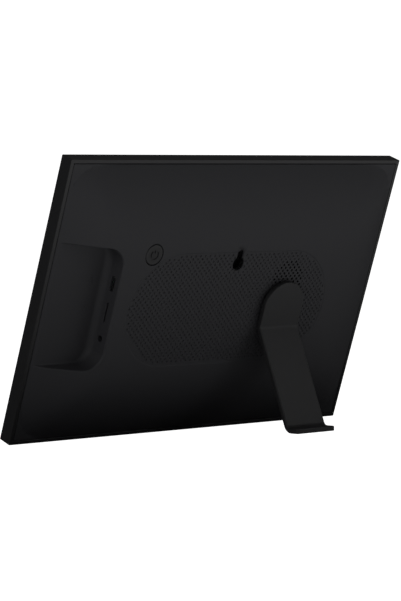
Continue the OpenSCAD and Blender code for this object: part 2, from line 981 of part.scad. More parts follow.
module button_wires() {
    color("firebrick")
        leaned()
            for (side = [-1, 1]) {
                u = button_u + side * 0.8;
                wire([
                    [u, button_v - 3, board_front - wire_r],
                    [u, button_v - 8, board_front - 2.5],
                    [u, board_top - 4, board_front - 2.5],
                    [u, board_top - 7, board_front - wire_r]
                ], wire_r);
            }
}

// ---------- hanger ----------

module hanger_plate() {
    color(bright_steel)
        leaned()
            difference() {
                block(hanger_w, hanger_h, hanger_back, hanger_top, [0, cup_v]);
                keyhole_cut(hanger_back - 1, ceiling + 1);
                for (side = [-1, 1])
                    post(hanger_post_r + 0.2, hanger_back - 1, ceiling + 1, [side * hanger_post_u, cup_v]);
            }
}

module hanger_cup() {
    floor_n = hanger_back - cup_depth;
    inner_w = cup_w - 2 * cup_wall;
    inner_h = cup_h - 2 * cup_wall;
    color(dark_plastic)
        leaned()
            difference() {
                union() {
                    block(cup_w, cup_h, floor_n, hanger_back, [0, cup_v]);
                    block(hanger_w, 8, cup_lip_back, hanger_back, [0, cup_v]);
                }
                block(inner_w, inner_h, floor_n + cup_wall, hanger_back + 1, [0, cup_v]);
                for (side = [-1, 1])
                    post(hanger_post_r + 0.2, cup_lip_back - 1, hanger_back + 1,
                        [side * hanger_post_u, cup_v]);
            }
}

module hanger_screws() {
    color(bright_steel)
        leaned()
            for (side = [-1, 1])
                screw([side * hanger_post_u, cup_v], cup_lip_back,
                    ceiling - cup_lip_back - screw_end, head_r = 3);
}

// ---------- speaker ----------

module speaker_frame() {
    at = [speaker_u, speaker_v];
    color(dark_plastic)
        leaned()
            difference() {
                union() {
                    block(speaker_w, speaker_h, speaker_front, speaker_back, at);
                    block(speaker_w + 2 * speaker_ear, 7, ear_back, ear_back + ear_t, at);
                }
                post(cone_r + 0.6, speaker_front + 1.2, speaker_back + 1, at);
                post(magnet_r - 1.5, speaker_front - 1, speaker_back, at);
                for (side = [-1, 1])
                    post(screw_r + 0.2, speaker_front, speaker_back, at + [side * speaker_post_u, 0]);
            }
}

module speaker_cone() {
    at = [speaker_u, speaker_v];
    color([0.2, 0.2, 0.21])
        leaned()
            translate([at[0], at[1], speaker_back - 1.9])
                difference() {
                    cylinder(r1 = cone_r * 0.55, r2 = cone_r, h = 1.6);
                    translate([0, 0, 0.4])
                        cylinder(r1 = cone_r * 0.55 - 0.4, r2 = cone_r - 0.2, h = 1.3);
                }
}

module speaker_magnet() {
    color(bright_steel)
        leaned()
            post(magnet_r, speaker_front - magnet_t, speaker_front, [speaker_u, speaker_v]);
}

module speaker_gasket() {
    at = [speaker_u, speaker_v];
    color(black_rubber)
        leaned()
            difference() {
                block(speaker_w, speaker_h, speaker_back, ceiling - mesh_t, at);
                block(speaker_w - 2 * gasket_w, speaker_h - 2 * gasket_w, speaker_back - 1, ceiling, at);
            }
}

module speaker_mesh() {
    color([0.05, 0.05, 0.05])
        leaned()
            block(speaker_w, speaker_h, ceiling - mesh_t, ceiling, [speaker_u, speaker_v]);
}

module speaker_screws() {
    color(bright_steel)
        leaned()
            for (side = [-1, 1])
                screw([speaker_u + side * speaker_post_u, speaker_v], ear_back,
                    ceiling - ear_back - screw_end);
}

module speaker_wires() {
    from_u = speaker_u - speaker_w / 2;
    to_u = board_u + board_w - 3;
    color("firebrick")
        leaned()
            for (side = [-1, 1]) {
                dv = side * 0.8;
                wire([
                    [from_u - wire_r, speaker_v - 7 + dv, speaker_front + 2],
                    [from_u - 5, speaker_v - 9 + dv, board_back + 2],
                    [to_u + 8, board_top - 16 + dv, board_back + 2],
                    [to_u, board_top - 16 + dv, board_back + wire_r]
                ], wire_r);
            }
}

// ---------- antenna ----------

module wifi_antenna() {
    color(flex_amber)
        leaned()
            block(antenna_w, antenna_len, ceiling - 0.2, ceiling, [antenna_u, 0]);
}

module antenna_cable() {
    r = 0.55;
    low_v = -antenna_len / 2;
    clear_v = min(low_v, hub_v - hub_r - 2) - 5;
    color(black_rubber)
        leaned()
            wire([
                [antenna_u, low_v + 3, ceiling - 0.2 - r],
                [antenna_u - 6, clear_v, ceiling - 2],
                [0, clear_v, board_back + 3],
                [board_u + board_w - 5, low_v - 2, board_back + r]
            ], r);
}

// ---------- stand ----------

module stand_leg() {
    color(black_plastic)
        leaned()
            intersection() {
                translate([hub_u, 0, 0])
                    along_u(leg_w)
                        strip(leg_path, leg_t);
                union() {
                    post(head_r, leg_under - 1, leg_under + leg_t + 1, [hub_u, hub_v]);
                    translate([hub_u - head_r - 1, hub_v - wide, leg_under - 1])
                        cube([leg_w + 2, wide, wide]);
                }
            }
}

module stand_shaft() {
    at = [hub_u, hub_v];
    color(dark_plastic)
        leaned()
            difference() {
                union() {
                    post(shaft_r, shaft_end, leg_under, at);
                    post(hub_r, flange_bottom, leg_under, at);
                }
                post(pivot_screw_r + screw_fit, shaft_end - 1, shaft_end + pivot_screw_len, at);
            }
}

module glide_washer() {
    color("ivory")
        leaned()
            difference() {
                post(hub_r, dome_h, dome_h + glide_t, [hub_u, hub_v]);
                post(shaft_r + 0.3, dome_h - 1, dome_h + glide_t + 1, [hub_u, hub_v]);
            }
}

module wave_washer() {
    color(bright_steel)
        leaned()
            difference() {
                post(hub_r - 0.6, boss_end - wave_t, boss_end, [hub_u, hub_v]);
                post(shaft_r + 0.3, boss_end - wave_t - 1, boss_end + 1, [hub_u, hub_v]);
            }
}

module keeper_disc() {
    color(bright_steel)
        leaned()
            difference() {
                post(hub_r - 0.2, keeper_back - keeper_t, keeper_back, [hub_u, hub_v]);
                post(pivot_screw_r + 0.1, keeper_back - keeper_t - 1, keeper_back + 1, [hub_u, hub_v]);
            }
}

module pivot_screw() {
    color(bright_steel)
        leaned()
            screw([hub_u, hub_v], keeper_back - keeper_t, keeper_t + pivot_screw_len - 1,
                r = pivot_screw_r, head_r = pivot_head_r, head_t = pivot_head_t);
}

front_frame();
touch_glass();
glass_tape();
lcd_cell();
diffuser_films();
light_guide();
led_strip();
backlight_tray();
middle_plate();
plate_screws();
display_flex();
touch_flex();
back_cover();
main_board();
board_standoffs();
board_screws();
shield_can();
board_chips();
usb_socket();
usb_tongue();
card_socket();
audio_socket();
power_button();
switch_plunger();
button_switch();
button_board();
button_screws();
button_wires();
hanger_plate();
hanger_cup();
hanger_screws();
speaker_frame();
speaker_cone();
speaker_magnet();
speaker_gasket();
speaker_mesh();
speaker_screws();
speaker_wires();
wifi_antenna();
antenna_cable();
stand_leg();
stand_shaft();
glide_washer();
wave_washer();
keeper_disc();
pivot_screw();
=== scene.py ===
"""Smart display seen from behind: slim frame, domed back cover with a port bay, a power
button, a keyhole and a dimpled pad, and a stand leg that swivels.

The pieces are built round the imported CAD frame, in metres. Sizes follow the panel:
u to the right as seen from behind, v up along the panel from its middle, and n out of
its back, with n = 0 at the rear edge of the rim.
"""
import json
import math

import bmesh
import bpy
import numpy as np
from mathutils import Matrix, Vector
from mathutils.geometry import delaunay_2d_cdt


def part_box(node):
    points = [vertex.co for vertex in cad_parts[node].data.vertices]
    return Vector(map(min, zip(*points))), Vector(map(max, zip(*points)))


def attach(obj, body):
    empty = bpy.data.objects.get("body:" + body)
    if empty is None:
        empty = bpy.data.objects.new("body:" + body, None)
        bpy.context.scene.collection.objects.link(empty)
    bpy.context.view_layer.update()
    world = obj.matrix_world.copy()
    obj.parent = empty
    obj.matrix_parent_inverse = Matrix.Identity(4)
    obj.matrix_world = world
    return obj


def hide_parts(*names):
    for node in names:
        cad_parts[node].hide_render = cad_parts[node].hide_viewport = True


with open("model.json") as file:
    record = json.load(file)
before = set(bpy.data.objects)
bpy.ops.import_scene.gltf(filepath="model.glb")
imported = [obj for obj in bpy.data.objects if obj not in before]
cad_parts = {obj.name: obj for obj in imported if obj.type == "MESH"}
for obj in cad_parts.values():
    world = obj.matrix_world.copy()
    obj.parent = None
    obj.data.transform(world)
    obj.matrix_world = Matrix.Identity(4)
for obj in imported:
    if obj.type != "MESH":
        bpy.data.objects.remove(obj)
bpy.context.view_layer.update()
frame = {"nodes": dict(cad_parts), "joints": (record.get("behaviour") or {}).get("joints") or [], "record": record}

bl_info = {
    "name": "Smart display",
    "version": (1, 0, 0),
    "blender": (4, 5, 0),
    "location": "View3D > Sidebar > Smart display",
    "description": "Builds the looks of a smart display round its packed frame",
    "category": "Object",
}

MM = 0.001
TINY = 1e-7
CONIC_WEIGHT = 0.75
EDGE_STEPS = 4
BEND_STEPS = 12
BUTTON_SIDES = 64
UNCUT = 1.0


# ---------- sizes and colours that a user may change ----------


def length(name, description, default):
    return bpy.props.FloatProperty(
        name=name, description=description, default=default, min=0.0, unit="LENGTH", precision=5
    )


def turn(name, description, degrees):
    return bpy.props.FloatProperty(
        name=name, description=description, default=math.radians(degrees), subtype="ANGLE"
    )


def colour(name, description, default):
    return bpy.props.FloatVectorProperty(
        name=name, description=description, default=default, size=3, min=0.0, max=1.0, subtype="COLOR"
    )


def share(name, description, default):
    return bpy.props.FloatProperty(
        name=name, description=description, default=default, min=0.0, max=1.0, subtype="FACTOR"
    )


class FrameSizes(bpy.types.PropertyGroup):
    """The slim frame and the glass in it."""

    width: length("Width", "Width of the frame", 0.26)
    height: length("Height", "Height of the frame", 0.172)
    depth: length("Depth", "Depth of the rim, front to rear", 0.0091)
    face: length("Rim face", "Width of the rim's rear face", 0.0023)
    ledge: length("Ledge", "Width of the ledge that the cover sits on", 0.0023)
    ledge_depth: length("Ledge depth", "Depth of the ledge under the rim", 0.0018)
    shelf_rear: length("Shelf rear", "Depth of the screen shelf's rear side", 0.0069)
    shelf_front: length("Shelf front", "Depth of the screen shelf's front side", 0.0077)
    shelf_side: length("Shelf side", "Distance from the frame's side to the shelf's edge", 0.0195)
    shelf_top: length("Shelf top", "Distance from the frame's top to the shelf's edge", 0.0155)
    corner: length("Corner", "Radius of the frame's four corners", 0.0005)
    edge: length("Edge", "Radius of the rim's edges", 0.00035)
    groove: length("Groove", "Gap between the rim and the cover", 0.0003)
    glass: length("Glass", "Thickness of the front glass", 0.0011)
    glass_gap: length("Glass gap", "Gap round the front glass", 0.0002)
    glass_edge: length("Glass edge", "Chamfer round the front glass", 0.0002)


class CoverSizes(bpy.types.PropertyGroup):
    """The domed back cover and the port bay in it."""

    rise: length("Dome height", "Height of the dome over the rim", 0.015)
    run: length("Dome run", "Distance over which the dome rises", 0.05)
    rounding: bpy.props.FloatProperty(
        name="Rounding", description="How fully the dome's corners are rounded", default=2.4, min=1.0
    )
    wall: length("Wall", "Thickness of the visible shell", 0.0009)
    flange: length("Flange", "Depth of the cover's edge in the rim", 0.0018)
    edge: length("Edge", "Radius of the cover's outer edge", 0.00025)
    band: length("Band", "Width of the even strip of faces along the edge", 0.0015)
    mesh_step: length("Mesh step", "Distance between the dome's mesh points", 0.0036)
    bay_reach: length("Bay reach", "Distance from the frame's side to the port wall", 0.042)
    bay_top: length("Bay top", "Top of the bay above the panel's middle", 0.0375)
    bay_bottom: length("Bay bottom", "Bottom of the bay below the panel's middle", 0.0365)
    bay_corner: length("Bay corner", "Corner radius of the bay", 0.011)
    bay_floor: length("Bay floor", "Height of the bay's floor over the rim", 0.0012)
    bay_cove: length("Bay cove", "Radius between the floor and the port wall", 0.004)
    bay_foot: length("Bay foot", "Radius between the floor and the other walls", 0.0012)
    bay_edge: length("Bay edge", "Radius of the bay's rear edge", 0.0009)
    port_height: length("Port height", "Height of the ports over the rim", 0.0084)
    port_depth: length("Port depth", "Depth of the holes in the port wall", 0.002)
    port_edge: length("Port edge", "Radius round the holes in the port wall", 0.00025)


class ButtonSizes(bpy.types.PropertyGroup):
    """The round power button."""

    hole: length("Hole", "Radius of the hole in the cover", 0.00655)
    cap: length("Cap", "Radius of the button's cap", 0.0062)
    edge: length("Edge", "Radius of the cap's edge", 0.0006)
    sunk: length("Symbol depth", "Depth of the symbol in the cap", 0.0004)
    ring: length("Symbol ring", "Radius of the symbol's ring", 0.0026)
    line: length("Symbol line", "Width of the symbol's lines", 0.0008)


class PadSizes(bpy.types.PropertyGroup):
    """The dimpled pad, with the speaker's grille in it."""

    half_length: length("Half length", "Half of the pad's length", 0.0776)
    half_height: length("Half height", "Half of the pad's height", 0.0346)
    drop: length("Drop", "How far the pad's centre lies under the panel's middle", 0.0008)
    border: length("Border", "Width of the sloping border round the pad", 0.0008)
    sunk: length("Sunk", "How far the pad lies under the dome's top", 0.0003)
    thickness: length("Thickness", "Thickness of the pad", 0.0012)
    pitch: length("Pitch", "Distance between neighbouring dimples", 0.00257)
    dimple: length("Dimple", "Radius of one dimple", 0.00078)
    dimple_depth: length("Dimple depth", "Depth of one dimple", 0.0006)
    margin: length("Margin", "Plain strip inside the border, up to a dimple's centre", 0.00085)
    hub_ring: length("Hub ring", "Radius of the plain ring round the stand's shaft", 0.0096)
    grille: length("Grille", "Radius of the round field of holes", 0.01255)
    grille_low: length("Grille low", "Height over the stand's axis where the holes begin", 0.0109)


class StandSizes(bpy.types.PropertyGroup):
    """The stand leg that swivels on the cover."""

    width: length("Width", "Width of the leg, and diameter of its round head", 0.031)
    thickness: length("Thickness", "Thickness of the leg", 0.003)
    edge: length("Edge", "Radius of the leg's edges", 0.0006)
    gap: length("Gap", "Gap between the cover and the leg's head", 0.0012)
    crease_down: length("Crease down", "Distance from the axis down to the crease", 0.013)
    bend: turn("Bend", "Angle of the lower leg away from the back", 42)
    crease: length("Crease", "Radius of the leg's middle line at the crease", 0.004)
    curl: length("Curl", "Radius of the leg's middle line at the foot", 0.0045)
    lip: length("Lip", "Length of the lip behind the foot", 0.006)
    lip_corner: length("Lip corner", "Radius of the lip's two corners", 0.0012)


class Finishes(bpy.types.PropertyGroup):
    """Colours and gloss of the visible pieces."""

    plastic: colour("Plastic", "Colour of the black moulded plastic", (0.017, 0.017, 0.018))
    plastic_rough: share("Plastic roughness", "Roughness of the moulded plastic", 0.5)
    frame_rough: share("Frame roughness", "Roughness of the frame's plastic", 0.42)
    glass: colour("Glass", "Colour of the print behind the front glass", (0.004, 0.004, 0.005))
    picture: colour("Picture area", "Colour of the dark picture area", (0.009, 0.010, 0.013))
    steel: colour("Steel", "Colour of the steel pieces", (0.56, 0.57, 0.58))
    brass: colour("Brass", "Colour of the brass pieces", (0.72, 0.53, 0.24))
    board: colour("Board", "Colour of the circuit boards", (0.012, 0.075, 0.035))
    wire: colour("Wire", "Colour of the thin wires", (0.35, 0.03, 0.02))
    floor: colour("Floor", "Colour of the floor", (0.95, 0.95, 0.95))


class DisplaySettings(bpy.types.PropertyGroup):
    """All sizes and colours of the smart display."""

    frame: bpy.props.PointerProperty(type=FrameSizes, name="Frame", description="Sizes of the frame")
    cover: bpy.props.PointerProperty(type=CoverSizes, name="Cover", description="Sizes of the cover")
    button: bpy.props.PointerProperty(type=ButtonSizes, name="Button", description="Sizes of the button")
    pad: bpy.props.PointerProperty(type=PadSizes, name="Pad", description="Sizes of the pad")
    stand: bpy.props.PointerProperty(type=StandSizes, name="Stand", description="Sizes of the stand")
    finish: bpy.props.PointerProperty(type=Finishes, name="Finishes", description="Colours and gloss")


# ---------- the panel frame ----------

USB_UP = 0.0147
USB_WIDE = 0.00924
USB_TALL = 0.0035
CARD_UP = -0.0028
CARD_WIDE = 0.012
CARD_TALL = 0.0013
AUDIO_UP = -0.0188
AUDIO_RADIUS = 0.0018
KEYHOLE_UP = 0.0269
KEYHOLE_RADIUS = 0.0042
SLOT_HALF = 0.0022
SLOT_RISE = 0.0086
SHAFT_BORE = 0.00505
GRILLE_OVER = (0.0018, 0.016)
BUTTON_AT = Vector((-0.0672, 0.0341))
HUB_AT = Vector((0.0415, 0.0))
COVER_CORNER, COVER_STEP = 0.0006, 0.0024
BAY_STEP, BAY_LEFT_STEPS = 0.0013, 24
HOLE_EDGE, HOLE_DEPTH = 0.00018, 0.002
KEYHOLE_LEVELS = ((0, 0.012), (0, 0.01445), (0.0002, 0.01465), (0.0002, 0.0165))
HUB_SLOPE, HUB_CHAMFER = 0.0004, 0.0002
CAP_SUNK, CAP_HEIGHT = 0.0001, 0.0022
SYMBOL_OPENING, SYMBOL_REACH = 38.0, 0.72
MARK_BACK, MARK_SUNK, MARK_HIGH, MARK_LINE = 0.0098, 0.0002, 0.00012, 0.0003
BAR_MARK, CARD_MARK, RING_MARK = (0.0008, 0.0026), (0.0012, 0.0017), 0.0013
PICTURE_INSET = (0.0215, 0.018)

swivel = next(j for j in frame["joints"] if j["name"] == "stand_swivel")
rearward_axis = Vector(swivel["axis"]).normalized()
lean = math.atan2(-rearward_axis.z, rearward_axis.y)
RIGHT = Vector((-1.0, 0.0, 0.0))
UP = Vector((0.0, math.sin(lean), math.cos(lean)))
REAR = Vector((0.0, math.cos(lean), -math.sin(lean)))


def placed(s, points):
    """Points of the panel frame as points of the row frame."""
    foot_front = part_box("front_frame")[0].y
    origin = Vector((0, foot_front + s.frame.depth * math.cos(lean), 0)) + UP * (s.frame.height / 2)
    return [origin + RIGHT * u + UP * v + REAR * n for u, v, n in points]


def on_panel(p):
    """A point's place on the panel, without its height."""
    return p[0], p[1]


def port_wall(s):
    """Where the port wall stands, along u."""
    return -s.frame.width / 2 + s.cover.bay_reach


# ---------- loops: lists of (point, outward normal) in a plane ----------


def quarter(steps):
    """Angles from 0 to 90 degrees in even steps."""
    return [math.radians(90 * i / steps) for i in range(steps + 1)]


def arc(centre, radius, start, end, steps):
    """Points and outward normals along an arc, with its angles in degrees."""
    out = []
    for i in range(steps + 1):
        a = math.radians(start + (end - start) * i / steps)
        way = Vector((math.cos(a), math.sin(a)))
        out.append((Vector(centre) + radius * way, way))
    return out


def spaced(loop, step, closed=True):
    """The same loop with its long straight runs cut to pieces no longer than step."""
    out = []
    ends = loop[1:] + loop[:1] if closed else loop[1:]
    for (p, n), (q, m) in zip(loop, ends):
        count = max(1, math.ceil((q - p).length / step - 1e-6))
        out += [(p.lerp(q, i / count), n.lerp(m, i / count).normalized()) for i in range(count)]
    return out if closed else out + [loop[-1]]


def rounded_box(half_u, half_v, radius, step, steps=4, centre=(0, 0)):
    """A rectangle with round corners, anticlockwise."""
    cu, cv = centre
    out = []
    for k, (su, sv) in enumerate(((1, 1), (-1, 1), (-1, -1), (1, -1))):
        middle = (cu + su * (half_u - radius), cv + sv * (half_v - radius))
        out += arc(middle, radius, 90 * k, 90 * k + 90, steps)
    return spaced(out, step)


def stadium(half_u, half_v, step, steps, centre=(0, 0)):
    """A shape with straight long sides and half-round ends, anticlockwise."""
    reach = half_u - half_v
    right = arc((centre[0] + reach, centre[1]), half_v, -90, 90, steps)
    left = arc((centre[0] - reach, centre[1]), half_v, 90, 270, steps)
    return spaced(right + left, step)


def stadium_up(half_u, half_v, centre):
    """A stadium that stands upright."""
    reach = half_v - half_u
    top = arc((centre[0], centre[1] + reach), half_u, 0, 180, 10)
    bottom = arc((centre[0], centre[1] - reach), half_u, 180, 360, 10)
    return top + bottom


def pad_outline(s):
    return stadium(s.pad.half_length, s.pad.half_height, 0.002, 44, (0, -s.pad.drop))


def circle(centre, radius, steps):
    return arc(centre, radius, 0, 360, steps)[:-1]


def conic(a, corner, b, steps=EDGE_STEPS):
    """Points of a rounded edge from a to b that hugs the corner."""
    out = []
    for i in range(steps + 1):
        t = i / steps
        wa, wc, wb = (1 - t) ** 2, 2 * CONIC_WEIGHT * t * (1 - t), t**2
        out.append((wa * Vector(a) + wc * Vector(corner) + wb * Vector(b)) / (wa + wc + wb))
    return out


# ---------- surfaces ----------


class Skin:
    """A surface gathered face by face. Each point may have a point behind it, for its wall."""

    def __init__(self):
        self.outer, self.inner, self.worn = [], [], []
        self.found, self.faces, self.creases = {}, [], set()

    def point(self, outer, inner=None, worn=0.0):
        outer = tuple(outer)
        key = tuple(round(c / TINY) for c in outer)
        if key not in self.found:
            self.found[key] = len(self.outer)
            self.outer.append(outer)
            self.inner.append(outer if inner is None else tuple(inner))
            self.worn.append(worn)
        return self.found[key]

    def row(self, loop, n, worn=0.0):
        """The points of a loop at one height."""
        return [self.point((p.x, p.y, n), worn=worn) for p, _ in loop]

    def face(self, corners):
        kept = [c for k, c in enumerate(corners) if c != corners[k - 1]]
        if len(set(kept)) >= 3:
            self.faces.append(kept)

    def bridge(self, rows, closed=True):
        """Quads between rows of the same number of points."""
        for a, b in zip(rows, rows[1:]):
            count = len(a)
            for i in range(count if closed else count - 1):
                j = (i + 1) % count
                self.face([a[i], a[j], b[j], b[i]])

    def fill(self, flat, outline, holes=(), spare=(), lines=(), lift=None):
        """Triangles inside a closed row of points, round holes and through spare points, with
        creases along the lines. flat gives a point's two coordinates, and lift a spare
        point's (outer, inner)."""
        ids, edges = [], []
        for loop in (outline, *holes):
            start = len(ids)
            ids += loop
            edges += [(start + i, start + (i + 1) % len(loop)) for i in range(len(loop))]
        plan = [Vector(flat(self.outer[i])) for i in ids]
        line_spans = []
        for line in lines:
            line_spans.append((len(plan), len(plan) + len(line) - 1))
            edges += [(len(plan) + i, len(plan) + i + 1) for i in range(len(line) - 1)]
            plan += [Vector(p) for p in line]
        plan += [Vector(p) for p in spare]
        found = delaunay_2d_cdt([p / MM for p in plan], edges, [], 1, 1e-6)
        index, source = [], []
        for spot, origin in zip(found[0], found[3]):
            source.append(min(origin) if origin else -1)
            if origin and min(origin) < len(ids):
                index.append(ids[min(origin)])
            else:
                index.append(self.point(*lift(spot * MM)))
        fixed = {frozenset(edge) for edge, origin in zip(found[1], found[4]) if origin}
        owner = {i: k for k, loop in enumerate(holes) for i in loop}
        for part in regions(found[2], fixed):
            owners = {owner.get(index[i]) for tri in part for i in tri}
            if len(owners) > 1 or None in owners:
                for tri in part:
                    self.face([index[i] for i in tri])
        for a, b in fixed:
            for low, high in line_spans:
                if low <= source[a] <= high and low <= source[b] <= high:
                    self.creases.add(frozenset((index[a], index[b])))

    def thicken(self):
        """Adds the points behind as an inner surface and closes the edges between the two."""
        count = {}
        for face in self.faces:
            for k, c in enumerate(face):
                pair = (face[k - 1], c)
                count[pair] = count.get(pair, 0) + 1
        behind = [self.point(p) for p in list(self.inner)]
        outer_faces = list(self.faces)
        for face in outer_faces:
            self.face([behind[c] for c in reversed(face)])
        for (a, b), times in count.items():
            if (b, a) not in count and times == 1:
                self.face([b, a, behind[a], behind[b]])

    def mesh(self, s, name, sharp=38.0):
        """A Blender object with its faces outwards, smooth but for its sharp edges."""
        mesh = bpy.data.meshes.new(name)
        mesh.from_pydata(placed(s, self.outer), [], self.faces)
        mesh.attributes.new("worn", "FLOAT", "POINT").data.foreach_set("value", self.worn)
        obj = linked(name, mesh)
        tidy(obj, sharp, self.creases)
        return obj


def linked(name, data):
    """A new object in the scene."""
    obj = bpy.data.objects.new(name, data)
    bpy.context.scene.collection.objects.link(obj)
    return obj


def made(name, work):
    """A new object in the scene from a bmesh, which is freed."""
    mesh = bpy.data.meshes.new(name)
    work.to_mesh(mesh)
    work.free()
    return linked(name, mesh)


def give(tree, socket, value):
    """Links another node's output to a socket, or sets the socket to a plain value."""
    if isinstance(value, bpy.types.NodeSocket):
        tree.links.new(value, socket)
    else:
        socket.default_value = value


def regions(triangles, fixed):
    """The triangles in groups that the fixed edges keep apart."""
    beside = {}
    for k, tri in enumerate(triangles):
        for j in range(3):
            beside.setdefault(frozenset((tri[j - 1], tri[j])), []).append(k)
    seen = set()
    for start in range(len(triangles)):
        if start in seen:
            continue
        seen.add(start)
        group, todo = [], [start]
        while todo:
            tri = triangles[todo.pop()]
            group.append(tri)
            for j in range(3):
                pair = frozenset((tri[j - 1], tri[j]))
                if pair not in fixed:
                    fresh = [k for k in beside[pair] if k not in seen]
                    seen.update(fresh)
                    todo += fresh
        yield group


def tidy(obj, sharp, creases=()):
    """Turns the faces outwards, drops loose points and sets smooth shading."""
    mesh = obj.data
    work = bmesh.new()
    work.from_mesh(mesh)
    work.verts.ensure_lookup_table()
    for pair in creases:
        if len(pair) == 2:
            a, b = (work.verts[i] for i in pair)
            edge = work.edges.get((a, b))
            if edge:
                edge.smooth = False
    bmesh.ops.delete(work, geom=[v for v in work.verts if not v.link_faces], context="VERTS")
    bmesh.ops.recalc_face_normals(work, faces=work.faces)
    if work.calc_volume(signed=True) < 0:
        bmesh.ops.reverse_faces(work, faces=work.faces)
    for face in work.faces:
        face.smooth = True
    for edge in work.edges:
        if edge.is_manifold and edge.calc_face_angle(0) > math.radians(sharp):
            edge.smooth = False
    work.to_mesh(mesh)
    work.free()
    weighted = obj.modifiers.new("weighted", "WEIGHTED_NORMAL")
    weighted.keep_sharp = True
    plain(obj)


def plain(obj):
    """Applies an object's modifiers to its mesh and removes them."""
    graph = bpy.context.evaluated_depsgraph_get()
    mesh = bpy.data.meshes.new_from_object(obj.evaluated_get(graph), depsgraph=graph)
    obj.modifiers.clear()
    old, obj.data = obj.data, mesh
    mesh.name = obj.name
    bpy.data.meshes.remove(old)


def ready(obj, body, slot, material, *nodes):
    """Gives a finished piece its material, its body and the CAD nodes that it stands for."""
    obj.data.materials.clear()
    obj.data.materials.append(material)
    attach(obj, body)
    if nodes:
        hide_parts(*nodes)


# ---------- materials ----------


class Finish:
    """A node material with its shader and small helpers for the nodes before it."""

    def __init__(self, name, colour, rough, metal=0.0, specular=0.5):
        self.material = bpy.data.materials.new(name)
        self.material.use_nodes = True
        self.material.diffuse_color = (*colour, 1.0)
        self.tree = self.material.node_tree
        self.shader = self.tree.nodes["Principled BSDF"]
        self.set("Base Color", (*colour, 1.0))
        self.set("Roughness", rough)
        self.set("Metallic", metal)
        self.set("Specular IOR Level", specular)
        self.place = self.add("ShaderNodeTexCoord").outputs["Object"]

    def set(self, socket, value):
        self.shader.inputs[socket].default_value = value

    def add(self, kind, settings=(), **sockets):
        node = self.tree.nodes.new(kind)
        for key, value in dict(settings).items():
            setattr(node, key, value)
        for key, value in sockets.items():
            give(self.tree, node.inputs[key.replace("_", " ")], value)
        return node

    def math(self, operation, *values):
        node = self.add("ShaderNodeMath", {"operation": operation})
        for socket, value in zip(node.inputs, values):
            give(self.tree, socket, value)
        return node.outputs[0]

    def feed(self, socket, output):
        self.tree.links.new(output, self.shader.inputs[socket])

    def shade(self, colour, fac, low, high):
        """Feeds the base colour from one tint of a colour to another as fac goes from 0 to 1."""
        self.feed("Base Color", self.mixed(fac, tinted(colour, low), tinted(colour, high)))

    def stretched(self, scale):
        return self.add("ShaderNodeMapping", Vector=self.place, Scale=scale).outputs["Vector"]

    def noise(self, scale, detail=3.0, where=None):
        return self.add(
            "ShaderNodeTexNoise", Vector=where or self.place, Scale=scale, Detail=detail
        ).outputs["Fac"]

    def between(self, fac, low, high, near=0.35, far=0.65):
        """A number from low to high as fac goes from near to far."""
        node = self.add("ShaderNodeMapRange", Value=fac)
        for key, value in (("From Min", near), ("From Max", far), ("To Min", low), ("To Max", high)):
            node.inputs[key].default_value = value
        return node.outputs["Result"]

    def mixed(self, fac, a, b):
        """Colour a where fac is 0 and colour b where it is 1."""
        node = self.add("ShaderNodeMix", {"data_type": "RGBA"})
        for value, socket in ((fac, node.inputs["Factor"]), (a, node.inputs[6]), (b, node.inputs[7])):
            give(self.tree, socket, (*value, 1.0) if isinstance(value, tuple) else value)
        return node.outputs[2]

    def bump(self, height, strength, distance):
        node = self.add("ShaderNodeBump", Height=height, Strength=strength, Distance=distance)
        self.feed("Normal", node.outputs["Normal"])


def tinted(colour, factor):
    return tuple(min(1.0, c * factor) for c in colour)


def moulded(name, colour, rough, grain=0.35 * MM, depth=0.02 * MM):
    """Moulded black plastic: a fine spark-eroded grain, slight blotches and polished, paler edges."""
    f = Finish(name, colour, rough, specular=0.3)
    speckle = f.noise(1 / grain, 2.0)
    flow = f.noise(38.0, 4.0)
    worn = f.add("ShaderNodeAttribute", {"attribute_name": "worn"}).outputs["Fac"]
    base = f.mixed(f.between(flow, 0.0, 1.0), tinted(colour, 0.92), tinted(colour, 1.1))
    f.feed("Base Color", f.mixed(worn, base, tinted(colour, 1.5)))
    matt = f.between(speckle, rough - 0.05, rough + 0.07)
    f.feed("Roughness", f.math("MULTIPLY_ADD", worn, -0.08, matt))
    f.bump(speckle, 0.35, depth)
    return f.material


def metal(name, colour, rough, stretch=(60.0, 900.0, 900.0)):
    """Rolled or turned metal with fine lines and slight stains."""
    f = Finish(name, colour, rough, metal=1.0)
    lines = f.noise(3.0, 3.0, f.stretched(stretch))
    stains = f.noise(55.0, 4.0)
    f.shade(colour, f.between(stains, 0.0, 1.0), 0.82, 1.06)
    f.feed("Roughness", f.between(lines, rough - 0.08, rough + 0.12))
    f.bump(lines, 0.25, 0.02 * MM)
    return f.material


def circuit(name, colour):
    """Green board with copper tracks under the lacquer."""
    f = Finish(name, colour, 0.38)
    tracks = f.add(
        "ShaderNodeTexBrick", {"offset": 0.37, "squash": 1.6}, Vector=f.stretched((1.0, 1.0, 1.0)),
        Scale=150.0, Color1=(0, 0, 0, 1), Color2=(0.2, 0.2, 0.2, 1), Mortar=(1, 1, 1, 1),
    ).outputs["Color"]
    f.shade(colour, tracks, 1.0, 1.9)
    f.feed("Roughness", f.between(f.noise(420.0), 0.3, 0.46))
    f.bump(tracks, 0.3, 0.03 * MM)
    return f.material


def soft(name, colour, rough, cell, depth):
    """Foam, paper or card with small pores, painted darker in their pits as shade."""
    f = Finish(name, colour, rough, specular=0.2)
    pores = f.add("ShaderNodeTexVoronoi", Vector=f.place, Scale=1 / cell).outputs["Distance"]
    # painted shade: the pits that the bump sinks are darker than the surface round them
    f.shade(colour, f.between(pores, 0.0, 1.0, 0.1, 0.7), 0.6, 1.1)
    f.feed("Roughness", f.between(f.noise(300.0), rough - 0.05, rough + 0.05))
    f.bump(pores, 0.6, depth)
    return f.material


